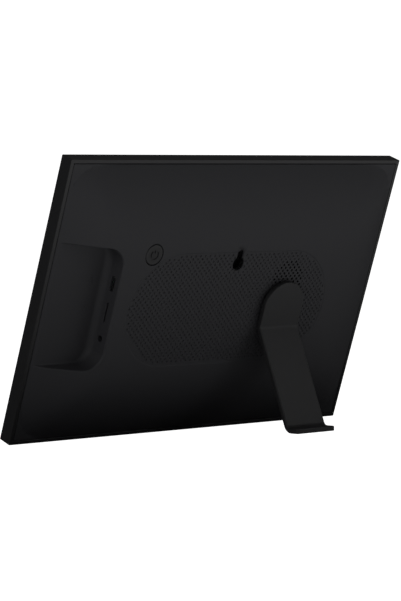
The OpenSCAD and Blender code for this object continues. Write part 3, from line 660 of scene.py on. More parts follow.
def ribbon(name, colour, rough):
    """Amber flat cable with its parallel tracks."""
    f = Finish(name, colour, rough)
    tracks = f.add(
        "ShaderNodeTexWave", {"bands_direction": "X"}, Vector=f.place, Scale=330.0, Distortion=0.0
    ).outputs["Fac"]
    f.shade(colour, f.between(tracks, 0.0, 1.0), 0.45, 1.0)
    f.feed("Roughness", f.between(f.noise(200.0), rough - 0.06, rough + 0.06))
    f.bump(tracks, 0.3, 0.02 * MM)
    return f.material


def woven(name, colour):
    """Fine black mesh behind the grille."""
    f = Finish(name, colour, 0.8, specular=0.2)
    sets = [
        f.add("ShaderNodeTexWave", {"bands_direction": way}, Vector=f.place, Scale=900.0).outputs["Fac"]
        for way in ("X", "Z")
    ]
    both = f.math("MULTIPLY", *sets)
    f.shade(colour, both, 0.4, 1.4)
    f.bump(both, 0.7, 0.05 * MM)
    return f.material


def front_panel(name, s):
    """Clear gloss over a black print, with the picture area a shade lighter."""
    f = Finish(name, tuple(s.finish.glass), 0.06)
    f.set("Coat Weight", 0.6)
    f.set("Coat Roughness", 0.03)
    split = f.add("ShaderNodeSeparateXYZ", Vector=f.place).outputs
    half_w, half_h = s.frame.width / 2 - PICTURE_INSET[0], s.frame.height / 2 - PICTURE_INSET[1]
    middle = s.frame.height / 2 * math.cos(lean) + s.frame.depth * math.sin(lean)
    within = []
    for out, centre, half in ((split["X"], 0.0, half_w), (split["Z"], middle, half_h * math.cos(lean))):
        away = f.math("ABSOLUTE", f.math("SUBTRACT", out, centre))
        within.append(f.math("LESS_THAN", away, half))
    picture = f.math("MULTIPLY", *within)
    f.feed("Base Color", f.mixed(picture, tuple(s.finish.glass), tuple(s.finish.picture)))
    f.feed("Roughness", f.between(f.noise(26.0, 5.0), 0.04, 0.11))
    f.bump(f.noise(9.0, 1.0), 0.02, 0.05 * MM)
    return f.material


# ---------- pieces ----------


def dome_rise(s, d):
    """Height of the dome's profile at a distance in from its edge."""
    c = s.cover
    if d >= c.run:
        return c.rise
    radius = (c.run**2 + c.rise**2) / (2 * c.rise)
    return c.rise - radius + math.sqrt(radius**2 - (c.run - max(d, 0.0)) ** 2)


def cover_half(s):
    inset = s.frame.face + s.frame.groove
    return s.frame.width / 2 - inset, s.frame.height / 2 - inset


def dome(s, u, v):
    """Height of the dome over a place: both profiles together, rounded at the corners."""
    half_u, half_v = cover_half(s)
    fall_u = 1 - dome_rise(s, half_u - abs(u)) / s.cover.rise
    fall_v = 1 - dome_rise(s, half_v - abs(v)) / s.cover.rise
    power = s.cover.rounding
    fall = (fall_u**power + fall_v**power) ** (1 / power)
    return s.cover.rise * max(0.0, 1 - fall)


def dome_foot(s, steps=40, start=12.0):
    """The line where the dome meets the flat corner of the flange, in the first quarter."""
    c = s.cover
    half_u, half_v = cover_half(s)
    radius = (c.run**2 + c.rise**2) / (2 * c.rise)
    line = []
    for i in range(steps + 1):
        a = math.radians(start + (90 - 2 * start) * i / steps)
        way = []
        for part in (math.cos(a), math.sin(a)):
            height = c.rise * (1 - part ** (2 / c.rounding))
            way.append(c.run - math.sqrt(radius**2 - (height + radius - c.rise) ** 2))
        if min(way) > c.band + 0.6 * MM:
            line.append(Vector((half_u - way[0], half_v - way[1])))
    return line


def make_rim(s):
    """The slim frame: a rounded section carried round the four sides."""
    r = s.frame
    e = r.edge
    section = []

    def edge(a, corner, b):
        section.extend((tuple(p), 1.0) for p in conic(a, corner, b))

    edge((0, -e), (0, 0), (e, 0))
    edge((r.face - e * 0.6, 0), (r.face, 0), (r.face, -e * 0.6))
    inner = r.face + r.ledge
    steps = (
        (r.face, -r.ledge_depth), (inner, -r.ledge_depth), (inner, -r.shelf_rear),
        ("shelf", -r.shelf_rear), ("shelf", -r.shelf_front), (r.face, -r.shelf_front),
    )
    section += [(step, 0.0) for step in steps]
    edge((r.face, -r.depth + e * 0.5), (r.face, -r.depth), (r.face - e * 0.5, -r.depth))
    edge((e, -r.depth), (0, -r.depth), (0, -r.depth + e))
    skin = Skin()
    rows = []
    for (inset, n), worn in section:
        shelf = inset == "shelf"
        in_u, in_v = (r.shelf_side, r.shelf_top) if shelf else (inset, inset)
        radius = r.corner if shelf else max(r.corner - inset, 0.0001)
        loop = rounded_box(r.width / 2 - in_u, r.height / 2 - in_v, radius, UNCUT)
        rows.append(skin.row(loop, n, worn))
    skin.bridge(rows + rows[:1])
    return skin.mesh(s, "rim")


def make_glass(s):
    """The front glass, with a fine chamfer round its front face."""
    r = s.frame
    inset = r.face + r.glass_gap
    half_u, half_v, bevel = r.width / 2 - inset, r.height / 2 - inset, r.glass_edge
    skin = Skin()
    rows = []
    for back, n in ((bevel, -r.depth), (0, -r.depth + bevel), (0, -r.depth + r.glass)):
        loop = rounded_box(half_u - back, half_v - back, r.corner, UNCUT)
        rows.append(skin.row(loop, n, 1.0))
    skin.bridge(rows)
    skin.face(rows[0])
    skin.face(rows[-1])
    return skin.mesh(s, "front_glass", sharp=25.0)


def button_hole(s, skin):
    """Rows of points from the dome over a rounded edge and down into the button's hole."""
    wall = s.cover.wall
    rows = [[] for _ in range(EDGE_STEPS + 2)]
    for p, way in circle(BUTTON_AT, s.button.hole, 48):
        back = p + way * wall
        height = dome(s, *p)
        outer = p + way * HOLE_EDGE
        shape = conic((HOLE_EDGE, dome(s, *outer)), (0, height), (0, height - HOLE_EDGE))
        shape.append(Vector((0, height - HOLE_DEPTH)))
        for row, (off, n) in zip(rows, shape):
            at = p + way * off
            inner = (back.x, back.y, min(n, height - wall))
            row.append(skin.point((at.x, at.y, n), inner, 1.0 if row is not rows[-1] else 0.0))
    return rows


def bay_loop(s):
    """The bay's wall as an open loop, from its top left to its bottom left, and its left edge."""
    c = s.cover
    half_u, _ = cover_half(s)
    low, high = 0.0, c.run
    for _ in range(50):
        middle = (low + high) / 2
        low, high = (middle, high) if dome_rise(s, middle) < c.bay_floor else (low, middle)
    left = -half_u + high
    wall_u = port_wall(s)
    r = c.bay_corner
    top = arc((wall_u - r, c.bay_top - r), r, 90, 0, 10)
    bottom = arc((wall_u - r, -c.bay_bottom + r), r, 0, -90, 10)
    start = (Vector((left, c.bay_top)), Vector((0, 1)))
    end = (Vector((left, -c.bay_bottom)), Vector((0, -1)))
    return spaced([start] + top + bottom + [end], BAY_STEP, closed=False), left


def keep_within(value, limit):
    return max(-limit, min(limit, value))


def cover_edge(s, skin):
    """Rows of points from an even strip on the dome over the outer edge, down into the rim."""
    c = s.cover
    half_u, half_v = cover_half(s)
    rows = [[] for _ in range(EDGE_STEPS + 3)]
    for p, way in rounded_box(half_u, half_v, COVER_CORNER, COVER_STEP):
        height = dome(s, *p)
        start = p - way * c.edge
        band = Vector((keep_within(p.x, half_u - c.band), keep_within(p.y, half_v - c.band)))
        shape = [Vector((-c.band, dome(s, *band)))]
        shape += conic((-c.edge, dome(s, *start)), (0, height), (0, height - c.edge))
        shape.append(Vector((0, -c.flange)))
        for k, (row, (off, n)) in enumerate(zip(rows, shape)):
            at = band if k == 0 else p + way * off
            back = at if k == 0 else p - way * c.wall
            inner = (back.x, back.y, min(n, 0) - c.wall)
            row.append(skin.point((at.x, at.y, n), inner, 0.6 if k > 1 else 0))
    return rows


def bay(s, skin):
    """The bay's rounded rear edge, wall, cove and floor. Gives the bay's outline on the dome,
    the outline left open for the port wall, and the bay's left edge."""
    c = s.cover
    loop, left = bay_loop(s)
    low_end, high_end = -c.bay_bottom + c.bay_corner, c.bay_top - c.bay_corner
    rims, walls, coves = [], [], []
    for p, way in loop:
        height = max(dome(s, *p), c.bay_floor)
        tall = height - c.bay_floor
        edge = min(c.bay_edge, 0.45 * tall)
        cove = min(c.bay_foot + (c.bay_cove - c.bay_foot) * max(way.x, 0) ** 1.5, 0.5 * tall)
        outer = p + way * edge
        back = p + way * c.wall
        rim = []
        for off, n in conic((edge, max(dome(s, *outer), c.bay_floor)), (0, height), (0, height - edge), 6):
            at = p + way * off
            rim.append(skin.point((at.x, at.y, n), (back.x, back.y, min(n, height - c.wall)), 0.8))
        foot = []
        for a in quarter(6):
            off, n = cove * (1 - math.cos(a)), c.bay_floor + cove * (1 - math.sin(a))
            at = p - way * off
            in_off = cove - (cove + c.wall) * math.cos(a)
            in_n = c.bay_floor + cove - (cove + c.wall) * math.sin(a)
            behind = p - way * in_off
            foot.append(skin.point((at.x, at.y, n), (behind.x, behind.y, in_n)))
        rims.append(rim)
        coves.append(foot)
        walls.append([rim[-1], foot[0]])
    on_wall = [way.x > 0.9999 and low_end - TINY <= p.y <= high_end + TINY for p, way in loop]
    for strips in (rims, coves):
        skin.bridge(strips, closed=False)
    for i in range(len(walls) - 1):
        if not (on_wall[i] and on_wall[i + 1]):
            skin.bridge([walls[i], walls[i + 1]], closed=False)
    left_line = []
    for i in range(1, BAY_LEFT_STEPS):
        v = -c.bay_bottom + (c.bay_top + c.bay_bottom) * i / BAY_LEFT_STEPS
        left_line.append(skin.point((left, v, c.bay_floor), (left, v, c.bay_floor - c.wall)))
    skin.fill(on_panel, [f[-1] for f in coves] + left_line)
    picked = [wall for wall, ok in zip(walls, on_wall) if ok]
    patch = [wall[0] for wall in picked] + [wall[1] for wall in reversed(picked)]
    return [rim[0] for rim in rims] + left_line, patch, left


def ports(s, skin, patch):
    """The port wall with its three openings."""
    c = s.cover
    wall_u = port_wall(s)
    shapes = [
        stadium(USB_WIDE / 2, USB_TALL / 2, 0.001, 8, (USB_UP, c.port_height)),
        rounded_box(CARD_WIDE / 2, CARD_TALL / 2, 0.0003, 0.001, 3, (CARD_UP, c.port_height)),
        circle((AUDIO_UP, c.port_height), AUDIO_RADIUS, 24),
    ]
    loops = []
    for shape in shapes:
        rows = [[] for _ in range(EDGE_STEPS + 2)]
        for p, way in shape:
            back = p + way * c.wall
            run = conic((c.port_edge, 0), (0, 0), (0, c.port_edge))
            run.append(Vector((0, c.port_depth)))
            for row, (off, deep) in zip(rows, run):
                at = p + way * off
                inner = (wall_u + max(deep, c.wall), back.x, back.y)
                row.append(skin.point((wall_u + deep, at.x, at.y), inner, 0.5 if deep < c.wall else 0.0))
        skin.bridge(rows)
        loops.append(rows[0])
    skin.fill(lambda p: (p[1], p[2]), patch, loops)


def pad_border(s, skin):
    """Rows of points down the sloping border of the pad."""
    c, pad = s.cover, s.pad
    floor_n = c.rise - pad.sunk
    rows = [[] for _ in range(5)]
    for p, way in pad_outline(s):
        back = p + way * c.wall
        outer = p + way * pad.border
        high = dome(s, *outer)
        tall = high - floor_n
        run = [
            (pad.border, high), (pad.border * 0.8, high - 0.1 * tall),
            (pad.border * 0.2, floor_n + 0.08 * tall), (0, floor_n), (0, floor_n - pad.thickness),
        ]
        for k, (row, (off, n)) in enumerate(zip(rows, run)):
            at = p + way * off
            inner = (back.x, back.y, min(n, floor_n) - c.wall) if k < 4 else (back.x, back.y, n)
            row.append(skin.point((at.x, at.y, n), inner, 0.5 if k == 0 else 0.0))
    return rows


def dome_points(s, taken, left):
    """Places for the dome's free mesh points, clear of the bay, the button, the pad and the
    places that are taken."""
    c, pad = s.cover, s.pad
    half_u, half_v = cover_half(s)
    near = np.array(taken)
    bay_box = (left - MM, port_wall(s) + MM, -c.bay_bottom - MM, c.bay_top + MM)
    reach = pad.half_length - pad.half_height
    rows, columns = int(2 * half_v / c.mesh_step), int(2 * half_u / c.mesh_step)
    spare = []
    for j in range(rows + 1):
        v = -half_v + 2 * half_v * (j + 0.5) / (rows + 1)
        for i in range(columns):
            u = -half_u + 2 * half_u * (i + 0.25 + 0.5 * (j % 2)) / columns
            if bay_box[0] < u < bay_box[1] and bay_box[2] < v < bay_box[3]:
                continue
            if (Vector((u, v)) - BUTTON_AT).length < s.button.hole + 1.2 * MM:
                continue
            if Vector((max(abs(u) - reach, 0), v + pad.drop)).length < pad.half_height + pad.border + MM:
                continue
            if np.hypot(near[:, 0] - u, near[:, 1] - v).min() > 1.3 * MM:
                spare.append((u, v))
    return spare


def make_cover(s):
    """The domed cover: one wall with its bay, ports, button hole and the border of the pad."""
    skin = Skin()
    edge_rows = cover_edge(s, skin)
    skin.bridge(edge_rows)
    bay_outline, patch, left = bay(s, skin)
    ports(s, skin, patch)
    button_rows = button_hole(s, skin)
    skin.bridge(button_rows)
    border_rows = pad_border(s, skin)
    skin.bridge(border_rows)

    hole_loops = [bay_outline, button_rows[0], border_rows[0]]
    corner = dome_foot(s)
    feet = [[Vector((p.x * su, p.y * sv)) for p in corner] for su in (1, -1) for sv in (1, -1)]
    taken = [Vector(skin.outer[i][:2]) for loop in (edge_rows[0], *hole_loops) for i in loop]
    taken += [p for line in feet for p in line]

    def lift(p):
        n = dome(s, p[0], p[1])
        return (p[0], p[1], n), (p[0], p[1], n - s.cover.wall)

    outline = list(dict.fromkeys(edge_rows[0]))
    skin.fill(on_panel, outline, hole_loops, dome_points(s, taken, left), feet, lift)
    skin.thicken()
    return skin.mesh(s, "cover_shell")


def keyhole_cutter(s):
    """A prism of the keyhole's outline, a little wider at its top."""
    skin = Skin()
    centre = Vector((0, KEYHOLE_UP))
    slot_middle = KEYHOLE_UP + SLOT_RISE - SLOT_HALF
    lean_in = math.degrees(math.asin(SLOT_HALF / KEYHOLE_RADIUS))
    loop = arc(centre, KEYHOLE_RADIUS, 90 + lean_in, 450 - lean_in, 36)
    loop += arc((0, slot_middle), SLOT_HALF, 0, 180, 14)
    rows = [skin.row([(p + way * off, way) for p, way in loop], n) for off, n in KEYHOLE_LEVELS]
    skin.bridge(rows)
    skin.face(rows[0])
    skin.face(rows[-1])
    return skin.mesh(s, "keyhole_cutter")


def cut_keyhole(s, obj):
    """Cuts the keyhole through a closed piece."""
    cutter = keyhole_cutter(s)
    cut = obj.modifiers.new("keyhole", "BOOLEAN")
    cut.operation = "DIFFERENCE"
    cut.solver = "EXACT"
    cut.object = cutter
    plain(obj)
    bpy.data.objects.remove(cutter)


# ---------- the dimples, as a geometry node tree ----------

DIMPLE_SIDES = 12
GRID_POINTS = 81
LEAST_FACES = 1000


def dimple_cell(s, name, through):
    """One dimple, or one hole right through the pad, open at its rim, round the origin."""
    pad = s.pad
    radius = pad.dimple
    if through:
        section = [(radius, 0.0), (radius * 0.96, -0.25 * pad.thickness), (radius * 0.96, -pad.thickness)]
    else:
        section = [(radius, 0.0), (radius * 0.72, -0.7 * pad.dimple_depth), (0, -pad.dimple_depth)]
    mesh = bmesh.new()
    rows = []
    for r, n in section:
        if r == 0:
            rows.append([mesh.verts.new((0, 0, n))] * DIMPLE_SIDES)
        else:
            rows.append([mesh.verts.new((p.x, p.y, n)) for p, _ in circle((0, 0), r, DIMPLE_SIDES)])
    for a, b in zip(rows, rows[1:]):
        for i in range(DIMPLE_SIDES):
            j = (i + 1) % DIMPLE_SIDES
            corners = [a[i], a[j], b[j], b[i]]
            mesh.faces.new([v for k, v in enumerate(corners) if v is not corners[k - 1]])
    return made(name, mesh)


class Tree:
    """A geometry node tree with named inputs and short ways to add its nodes."""

    def __init__(self, name, inputs):
        self.tree = bpy.data.node_groups.new(name, "GeometryNodeTree")
        self.keys = {}
        self.tree.interface.new_socket("Geometry", in_out="OUTPUT", socket_type="NodeSocketGeometry")
        for label, kind in inputs:
            socket = self.tree.interface.new_socket(label, in_out="INPUT", socket_type=kind)
            self.keys[label] = socket.identifier
        self.given = self.tree.nodes.new("NodeGroupInput").outputs

    def add(self, kind, settings=(), inputs=()):
        node = self.tree.nodes.new(kind)
        for key, value in dict(settings).items():
            setattr(node, key, value)
        for key, value in dict(inputs).items():
            give(self.tree, node.inputs[key], value)
        return node.outputs

    def math(self, operation, a, b=0.0):
        return self.add("ShaderNodeMath", {"operation": operation}, {0: a, 1: b})[0]

    def length(self, x, y):
        place = self.add("ShaderNodeCombineXYZ", (), {0: x, 1: y})[0]
        return self.add("ShaderNodeVectorMath", {"operation": "LENGTH"}, {0: place})["Value"]

    def far(self, x, y, at_x, at_y):
        return self.length(self.math("SUBTRACT", x, at_x), self.math("SUBTRACT", y, at_y))


def dimple_tree():
    """Dimples on a square grid turned by 45 degrees, kept inside the pad and clear of the
    keyhole and the hub, with holes instead of dimples over the speaker."""
    number, piece, material = "NodeSocketFloat", "NodeSocketObject", "NodeSocketMaterial"
    t = Tree(
        "Dimple field",
        [("Dimple", piece), ("Hole", piece), ("Material", material), ("Pitch", number)]
        + [(name, number) for name in (
            "Half length", "Half height", "Centre up", "Margin", "Keyhole up", "Keyhole radius",
            "Slot half", "Hub right", "Hub up", "Hub radius", "Grille right",
            "Grille up", "Grille radius", "Grille low")],
    )
    g = t.given
    span = t.math("MULTIPLY", g["Pitch"], GRID_POINTS - 1.0)
    grid = t.add(
        "GeometryNodeMeshGrid", (),
        {"Size X": span, "Size Y": span, "Vertices X": GRID_POINTS, "Vertices Y": GRID_POINTS},
    )["Mesh"]
    middle = t.add("ShaderNodeCombineXYZ", (), {0: g["Grille right"], 1: g["Grille up"]})[0]
    turned = t.add(
        "GeometryNodeTransform", (),
        {"Geometry": grid, "Translation": middle, "Rotation": (0, 0, math.radians(45))},
    )["Geometry"]
    x, y = t.add("ShaderNodeSeparateXYZ", (), {0: t.add("GeometryNodeInputPosition")[0]})[:2]
    reach = t.math("SUBTRACT", g["Half length"], g["Half height"])
    over = t.math("MAXIMUM", t.math("SUBTRACT", t.math("ABSOLUTE", x), reach), 0.0)
    away = t.length(over, t.math("SUBTRACT", y, g["Centre up"]))
    keep = [
        t.math("LESS_THAN", away, t.math("SUBTRACT", g["Half height"], g["Margin"])),
        t.math("GREATER_THAN", t.far(x, y, 0.0, g["Keyhole up"]), g["Keyhole radius"]),
        t.math("GREATER_THAN", t.far(x, y, g["Hub right"], g["Hub up"]), g["Hub radius"]),
    ]
    beside = t.math("GREATER_THAN", t.math("ABSOLUTE", x), g["Slot half"])
    under = t.math("LESS_THAN", y, g["Keyhole up"])
    keep.append(t.math("MAXIMUM", beside, under))
    inside_all = keep[0]
    for one in keep[1:]:
        inside_all = t.math("MULTIPLY", inside_all, one)
    grille = t.math(
        "MULTIPLY",
        t.math("LESS_THAN", t.far(x, y, g["Grille right"], g["Grille up"]), g["Grille radius"]),
        t.math("GREATER_THAN", y, g["Grille low"]),
    )
    joined = t.tree.nodes.new("GeometryNodeJoinGeometry")
    for label, where in (("Hole", grille), ("Dimple", t.math("SUBTRACT", 1.0, grille))):
        part = t.add("GeometryNodeObjectInfo", {"transform_space": "ORIGINAL"}, {"Object": g[label]})
        spots = t.math("MULTIPLY", inside_all, where)
        chosen = t.math("GREATER_THAN", spots, 0.5)
        copies = t.add(
            "GeometryNodeInstanceOnPoints", (),
            {"Points": turned, "Selection": chosen, "Instance": part["Geometry"]},
        )["Instances"]
        t.tree.links.new(copies, joined.inputs["Geometry"])
    real = t.add("GeometryNodeRealizeInstances", (), {"Geometry": joined.outputs[0]})[0]
    done = t.add("GeometryNodeSetMaterial", (), {"Geometry": real, "Material": g["Material"]})[0]
    end = t.tree.nodes.new("NodeGroupOutput")
    t.tree.links.new(done, end.inputs[0])
    return t


def dimple_field(s, material):
    """The dimples and grille holes as one plain mesh round the pad's plane."""
    pad = s.pad
    cells = [dimple_cell(s, "dimple", False), dimple_cell(s, "grille_hole", True)]
    t = dimple_tree()
    holder = linked("dimples", bpy.data.meshes.new("dimples"))
    field = holder.modifiers.new("dimples", "NODES")
    field.node_group = t.tree
    clear = pad.dimple + 0.35 * MM
    values = {
        "Dimple": cells[0],
        "Hole": cells[1],
        "Material": material,
        "Pitch": pad.pitch,
        "Half length": pad.half_length,
        "Half height": pad.half_height,
        "Centre up": -pad.drop,
        "Margin": pad.margin,
        "Keyhole up": KEYHOLE_UP,
        "Keyhole radius": KEYHOLE_RADIUS + clear,
        "Slot half": SLOT_HALF + clear,
        "Hub right": HUB_AT.x,
        "Hub up": HUB_AT.y,
        "Hub radius": pad.hub_ring + clear,
        "Grille right": HUB_AT.x + GRILLE_OVER[0],
        "Grille up": HUB_AT.y + GRILLE_OVER[1],
        "Grille radius": pad.grille,
        "Grille low": HUB_AT.y + pad.grille_low,
    }
    for label, value in values.items():
        field[t.keys[label]] = value
    plain(holder)
    for cell in cells:
        bpy.data.objects.remove(cell)
    return holder


def rim_loops(mesh):
    """The open rims of a mesh, each as a list of its points in order."""
    work = bmesh.new()
    work.from_mesh(mesh)
    follow = {}
    for edge in work.edges:
        if edge.is_boundary:
            a, b = edge.verts
            follow.setdefault(a.index, []).append(b.index)
            follow.setdefault(b.index, []).append(a.index)
    co = [tuple(v.co) for v in work.verts]
    work.free()
    loops, seen = [], set()
    for start in sorted(follow):
        if start in seen:
            continue
        loop, here = [start], start
        seen.add(start)
        while True:
            ahead = [k for k in follow[here] if k not in seen]
            if not ahead:
                break
            here = ahead[0]
            seen.add(here)
            loop.append(here)
        loops.append([co[k] for k in loop])
    return loops


def make_pad(s, material):
    """The pad: a closed plate with its dimples, its grille and a plain ring round the hub."""
    pad = s.pad
    skin = Skin()
    top_n = s.cover.rise - pad.sunk
    low_n = top_n - pad.thickness
    field = dimple_field(s, material)
    if len(field.data.polygons) < LEAST_FACES:
        raise RuntimeError("the dimple field came out empty")

    def level(co):
        return (co[0], co[1], top_n + co[2])

    for poly in field.data.polygons:
        skin.face([skin.point(level(field.data.vertices[i].co)) for i in poly.vertices])
    top_loops, low_loops = [], []
    for loop in rim_loops(field.data):
        row = [skin.point(level(co)) for co in loop]
        (top_loops if loop[0][2] > -TINY else low_loops).append(row)
    bpy.data.objects.remove(field)
    sides = [skin.row(pad_outline(s), n) for n in (top_n, low_n)]
    skin.bridge(sides)
    ring, rise = pad.hub_ring, s.cover.rise
    hub_section = [(ring, top_n), (ring - HUB_SLOPE, rise), (SHAFT_BORE + HUB_CHAMFER, rise)]
    hub_section += [(SHAFT_BORE, rise - HUB_CHAMFER), (SHAFT_BORE, low_n)]
    hub_rows = [skin.row(circle(HUB_AT, r, 64), n) for r, n in hub_section]
    skin.bridge(hub_rows)
    skin.fill(on_panel, sides[0], top_loops + [hub_rows[0]])
    skin.fill(on_panel, sides[1], low_loops + [hub_rows[-1]])
    return skin.mesh(s, "cover_pad", sharp=40.0)


def make_button(s):
    """The cap of the power button, with a sunk ring-and-bar symbol."""
    b = s.button
    skin = Skin()
    top_n = dome_rise(s, cover_half(s)[1] - BUTTON_AT.y) - CAP_SUNK
    section = conic((b.cap - b.edge, top_n), (b.cap, top_n), (b.cap, top_n - b.edge), 6)
    section.append((b.cap, top_n - CAP_HEIGHT))
    rows = [skin.row(circle(BUTTON_AT, r, BUTTON_SIDES), n, 0.7) for r, n in section]
    skin.bridge(rows)
    skin.face(rows[-1])
    half = b.line / 2
    start, end = 90 + SYMBOL_OPENING, 450 - SYMBOL_OPENING
    ring = arc(BUTTON_AT, b.ring + half, start, end, 30) + arc(BUTTON_AT, b.ring - half, end, start, 30)
    tall = b.ring * SYMBOL_REACH
    bar = rounded_box(half, tall / 2, half * 0.95, UNCUT, 5, (BUTTON_AT.x, BUTTON_AT.y + tall))
    holes = []
    for shape in (ring, bar):
        sides = [skin.row(shape, n) for n in (top_n, top_n - b.sunk)]
        skin.bridge(sides)
        skin.fill(on_panel, sides[1])
        holes.append(sides[0])
    skin.fill(on_panel, rows[0], holes)
    return skin.mesh(s, "button_cap", sharp=40.0)


def leg_line(s):
    """The leg's middle line in (v, n), as a function of the way along it, and its stations."""
    st = s.stand
    bend, lip = st.bend, math.radians(90) + lean
    half_t = st.thickness / 2
    middle = s.cover.rise + st.gap + half_t
    lift = (s.frame.height / 2) * math.cos(lean)
    crease_at = Vector((HUB_AT.y - st.crease_down - half_t * math.tan(bend / 2), middle))
    run = st.crease * math.tan(bend / 2)
    foot_r = st.curl + half_t
    height = lift + crease_at.x * math.cos(lean) - crease_at.y * math.sin(lean)
    total = (height + st.curl * math.sin(bend - lean) - foot_r) / math.cos(bend - lean)
    head = st.width / 2
    first = HUB_AT.y + head - (crease_at.x + run)
    parts = [(first, None), (st.crease * bend, st.crease), (total - run, None)]
    parts += [(st.curl * (lip - bend), st.curl), (st.lip, None)]
    stations, s0 = [0.0], 0.0
    for size, radius in parts:
        steps = 1 if radius is None else BEND_STEPS
        stations += [s0 + size * (i + 1) / steps for i in range(steps)]
        s0 += size

    def along(way):
        at, angle, left = Vector((HUB_AT.y + head, middle)), 0.0, way
        for k, (size, radius) in enumerate(parts):
            step = left if k == len(parts) - 1 else min(left, size)
            heading = Vector((-math.cos(angle), math.sin(angle)))
            rearward = Vector((math.sin(angle), math.cos(angle)))
            if radius is None:
                at = at + heading * step
            else:
                centre = at + radius * rearward
                angle += step / radius
                at = centre - radius * Vector((math.sin(angle), math.cos(angle)))
            left -= step
            if left <= 0:
                break
        return at, Vector((math.sin(angle), math.cos(angle)))

    return along, stations, s0


def make_leg(s):
    """The leg: a plate with rounded edges, bent along its line."""
    st = s.stand
    along, stations, total = leg_line(s)
    head = st.width / 2
    half_t = st.thickness / 2
    skin = Skin()

    def outline(inset):
        """Half of the outline, from the head's tip down one side to the middle of the lip."""
        r = head - inset
        side = [(head - r * math.cos(a), r * math.sin(a)) for a in quarter(18)]
        straight_end = total - st.lip_corner - 0.1 * MM
        side += [(way, r) for way in stations if head + 0.3 * MM < way < straight_end]
        corner = max(st.lip_corner - inset, 0.0002)
        for a in quarter(5):
            side.append((total - inset - corner * (1 - math.sin(a)), r - corner * (1 - math.cos(a))))
        return side

    e = st.edge
    section = [(e * (1 - math.sin(a)), half_t - e * (1 - math.cos(a))) for a in quarter(4)]
    section += [(inset, -out) for inset, out in reversed(section)]
    rows = []
    for inset, out in section:
        side = outline(inset)
        worn = 0.0 if abs(out) < half_t - e else 0.7
        row = []
        for sign in (1, -1):
            part = side if sign > 0 else side[::-1]
            for way, across in part:
                if sign < 0 and abs(across) < TINY:
                    continue
                at, rearward = along(way)
                at = at + rearward * out
                row.append(skin.point((HUB_AT.x + sign * across, at.x, at.y), worn=worn))
        rows.append(row)
    skin.bridge(rows)
    for row in (rows[0], rows[-1]):
        count = len(row)
        half = (count + 1) // 2
        right = row[:half]
        left = [row[0]] + row[half:][::-1]
        for k in range(half - 1):
            skin.face([right[k], right[k + 1], left[min(k + 1, len(left) - 1)], left[k]])
    return skin.mesh(s, "leg", sharp=50.0)


def make_marks(s):
    """Plain moulded marks beside the three ports: a bar, a card outline and a ring."""
    skin = Skin()
    column = port_wall(s) - MARK_BACK
    levels = (s.cover.bay_floor + MARK_HIGH, s.cover.bay_floor - MARK_SUNK)

    def slab(outer, inner):
        """A closed flat piece between an outline and the edge of its hole."""
        sides, holes = ([skin.row(loop, n) for n in levels] for loop in (outer, inner))
        skin.bridge(sides)
        skin.bridge(holes)
        for side, hole in zip(sides, holes):
            skin.fill(on_panel, side, [hole])

    line = MARK_LINE
    at = (column, USB_UP)
    wide, tall = BAR_MARK
    slab(stadium_up(wide, tall, at), stadium_up(wide - line, tall - line, at))
    at = (column, CARD_UP)
    wide, tall = CARD_MARK
    slab(
        rounded_box(wide, tall, 0.0003, UNCUT, 4, at),
        rounded_box(wide - line, tall - line, 0.0001, UNCUT, 4, at),
    )
    at = Vector((column, AUDIO_UP))
    slab(circle(at, RING_MARK, 24), circle(at, RING_MARK - line, 24))
    return skin.mesh(s, "port_marks")


# ---------- operators ----------


def settings():
    return bpy.context.scene.smart_display


def cover_finish():
    found = bpy.data.materials.get("cover_plastic")
    f = settings().finish
    return found or moulded("cover_plastic", tuple(f.plastic), f.plastic_rough)


class DISPLAY_OT_rim(bpy.types.Operator):
    """Builds the slim frame"""

    bl_idname = "smart_display.rim"
    bl_label = "Frame"

    def execute(self, context):
        s = settings()
        f = s.finish
        material = moulded("frame_plastic", tuple(f.plastic), f.frame_rough, 0.28 * MM, 0.012 * MM)
        ready(make_rim(s), "casing", "frame_plastic", material, "front_frame")
        return {"FINISHED"}


class DISPLAY_OT_glass(bpy.types.Operator):
    """Builds the front glass"""

    bl_idname = "smart_display.glass"
    bl_label = "Front glass"

    def execute(self, context):
        s = settings()
        ready(make_glass(s), "casing", "screen_glass", front_panel("screen_glass", s), "touch_glass")
        return {"FINISHED"}


class DISPLAY_OT_cover(bpy.types.Operator):
    """Builds the domed cover with its port bay"""

    bl_idname = "smart_display.cover"
    bl_label = "Back cover"

    def execute(self, context):
        s = settings()
        obj = make_cover(s)
        cut_keyhole(s, obj)
        ready(obj, "casing", "cover_plastic", cover_finish(), "back_cover")
        return {"FINISHED"}


class DISPLAY_OT_pad(bpy.types.Operator):
    """Builds the dimpled pad with the speaker's grille"""

    bl_idname = "smart_display.pad"
    bl_label = "Dimpled pad"

    def execute(self, context):
        s = settings()
        obj = make_pad(s, cover_finish())
        cut_keyhole(s, obj)
        ready(obj, "casing", "cover_plastic", cover_finish(), "back_cover")
        return {"FINISHED"}


class DISPLAY_OT_button(bpy.types.Operator):
    """Builds the power button's cap"""

    bl_idname = "smart_display.button"
    bl_label = "Power button"

    def execute(self, context):
        s = settings()
        material = moulded("button_plastic", tuple(s.finish.plastic), 0.44, 0.25 * MM, 0.01 * MM)
        ready(make_button(s), "button", "button_plastic", material, "power_button")
        return {"FINISHED"}


class DISPLAY_OT_leg(bpy.types.Operator):
    """Builds the stand leg"""

    bl_idname = "smart_display.leg"
    bl_label = "Stand leg"

    def execute(self, context):
        s = settings()
        material = moulded("stand_plastic", tuple(s.finish.plastic), s.finish.plastic_rough, 0.3 * MM)
        ready(make_leg(s), "stand", "stand_plastic", material, "stand_leg")
        return {"FINISHED"}


